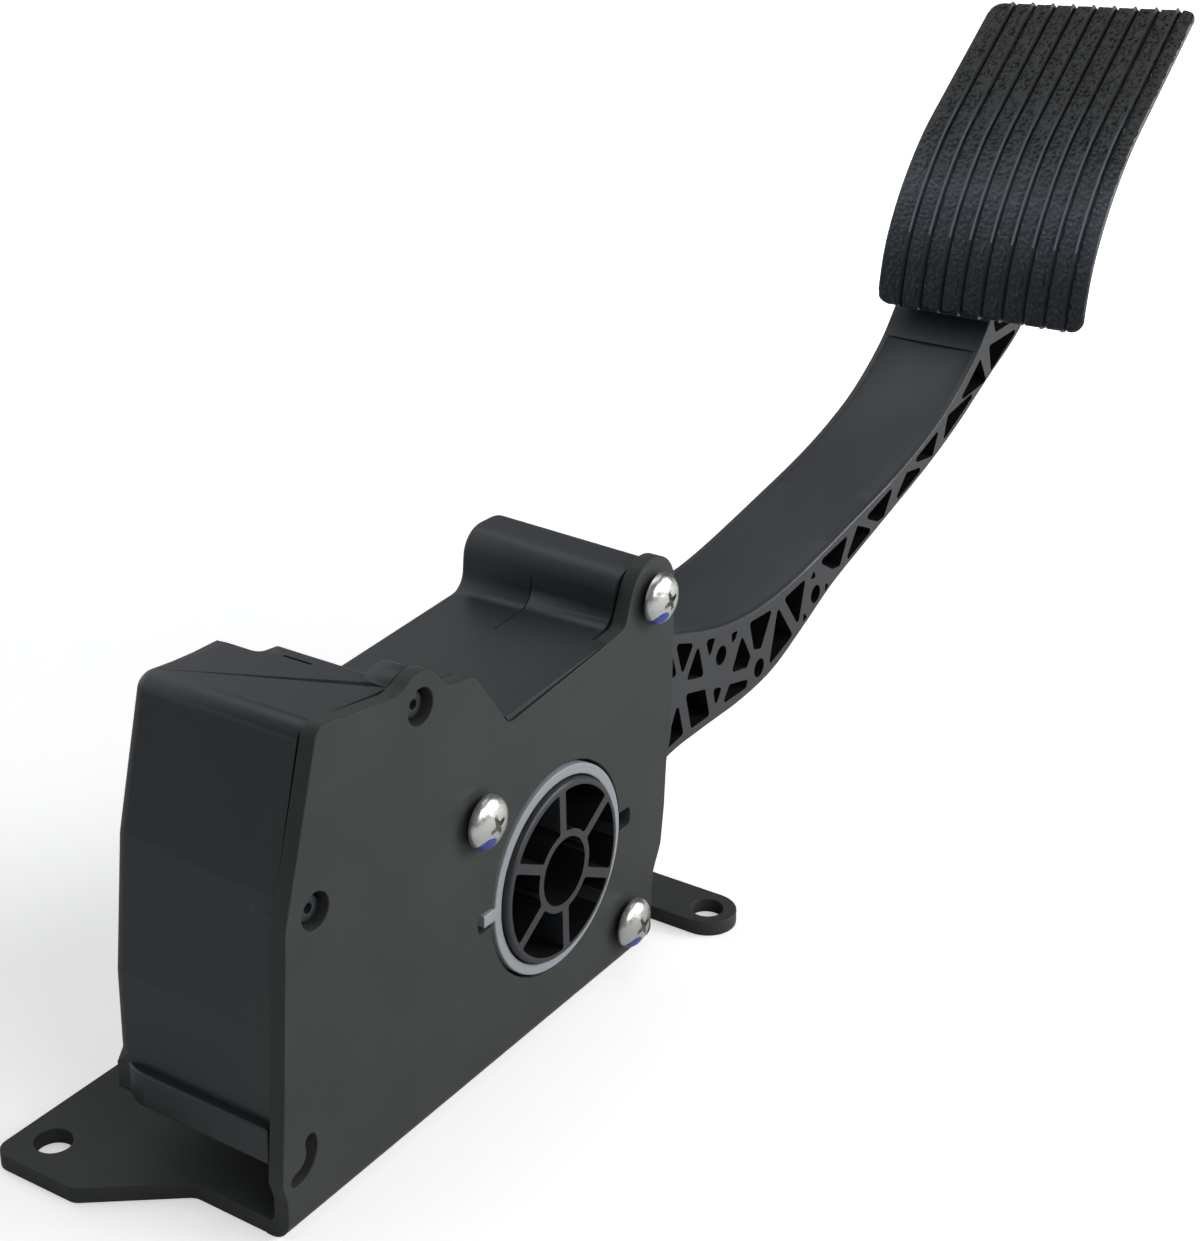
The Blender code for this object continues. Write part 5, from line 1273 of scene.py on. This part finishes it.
SEAT_SPIGOT_R, SEAT_SPIGOT_H = 2.4, 2.0     # low and slim, so that it clears the coils when the seat tilts
wire = drawn_wire()
for spring_name, coil_r, wire_r, turn_count in (("outer_spring", OUTER_COIL_R, OUTER_WIRE_R, OUTER_TURNS),
                                                ("inner_spring", INNER_COIL_R, INNER_WIRE_R, INNER_TURNS)):
    spring = dressed(wound(spring_name + "_wound", coil_r, wire_r, turn_count), wire, "root", [spring_name],
                     60)
    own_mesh(spring)

seat = upright("spring_seat_moulded", SEAT_R, LEVER_TOP + FIT, LEVER_TOP + FIT + SEAT_T, SPRING_X, 0, 56, 0.3)
seat_spigot = upright("seat_spigot", SEAT_SPIGOT_R, LEVER_TOP + FIT + 0.5, LEVER_TOP + SEAT_T + SEAT_SPIGOT_H,
                      SPRING_X, 0, 40, 0.5)
dressed(combined(seat, [seat_spigot], "UNION"), acetal, "arm", ["spring_seat"])


# The idle stop and the friction shoe: a moulded rubber button under the short lever, and a
# curved block of friction liner that rubs on the hub and steadies the driver's foot.


def friction_liner():
    """Bonded friction liner: dull brown-grey with short mineral flecks."""
    material, tree, shader, where = new_finish("bonded_friction_liner")
    flecks = node(tree, "TexVoronoi", {"Scale": 1 / (0.6 * MM)}, {"Vector": (where, "Object")})
    coloured(tree, shader, (flecks, "Distance"), ((0.0, "#5c5042"), (1.0, "#463c30")))
    shader.inputs["Roughness"].default_value = 0.75
    return material


button_top = LEVER_LOW - FIT
button = upright("idle_bumper_moulded", BUMPER_R, button_top - BUMPER_H, button_top, BUMPER_X, 0, 40, 0.6)
dressed(button, rubber, "root", ["idle_bumper"])
shoe_outline = ring_sector(HUB_R + FIT, HUB_R + FIT + SHOE_T, *SHOE_SPAN)
shoe = slab("friction_shoe_pressed", [shoe_outline], -SHOE_HALF, SHOE_HALF, edge=0.2)
dressed(shoe, friction_liner(), "root", ["friction_shoe"])


# The sensor: a magnet in the hub's far end, read by two chips on a small circuit board
# under a moulded cover, with a gasket and a six-way connector socket.  It is on the side
# that the photograph hides, so its pieces keep the frame's shapes with their real finishes.


def solder_mask():
    """Green solder mask over glass cloth, with copper tracks faintly raised under it."""
    material, tree, shader, where = new_finish("green_solder_mask")
    tracks = node(tree, "TexBrick",
                  {"Scale": 1 / (6 * MM), "Mortar Size": 0.03, "Color1": srgb("#1c5a36"),
                   "Color2": srgb("#1a5232"), "Mortar": srgb("#2c7448")}, {"Vector": (where, "Object")})
    tree.links.new(tracks.outputs["Color"], shader.inputs["Base Color"])
    shader.inputs["Roughness"].default_value = 0.3
    return material


def tinned_brass():
    """Tinned brass terminals: pale yellow metal, bright where the tin is thin."""
    material, tree, shader, where = new_finish("tinned_brass")
    coloured(tree, shader, (spots(tree, where, 1.5), "Fac"), ((0.0, "#c9b06a"), (1.0, "#d8d2bc")))
    shader.inputs["Metallic"].default_value = 1.0
    shader.inputs["Roughness"].default_value = 0.28
    return material


ferrite = moulded_polyamide("bonded_ferrite", "#2b2a29", "#34322f", 0.4, (0.45, 0.6))
package = moulded_polyamide("epoxy_package", "#191a1c", "#1e1f21", 0.15, (0.4, 0.5))
kept = {"hub_magnet": ferrite, "sensor_gasket": rubber, "sensor_cover": housing_plastic,
        "circuit_board": solder_mask(), "hall_sensor_1": package, "hall_sensor_2": package}
brass = tinned_brass()
for number in range(1, 7):
    kept["terminal_%d" % number] = brass
for number in range(1, 5):
    kept["cover_screw_%d" % number] = zinc
for kept_name, kept_finish in kept.items():
    piece = cad[kept_name]
    if piece.material_slots:
        piece.material_slots[0].material = kept_finish
    else:
        piece.data.materials.append(kept_finish)
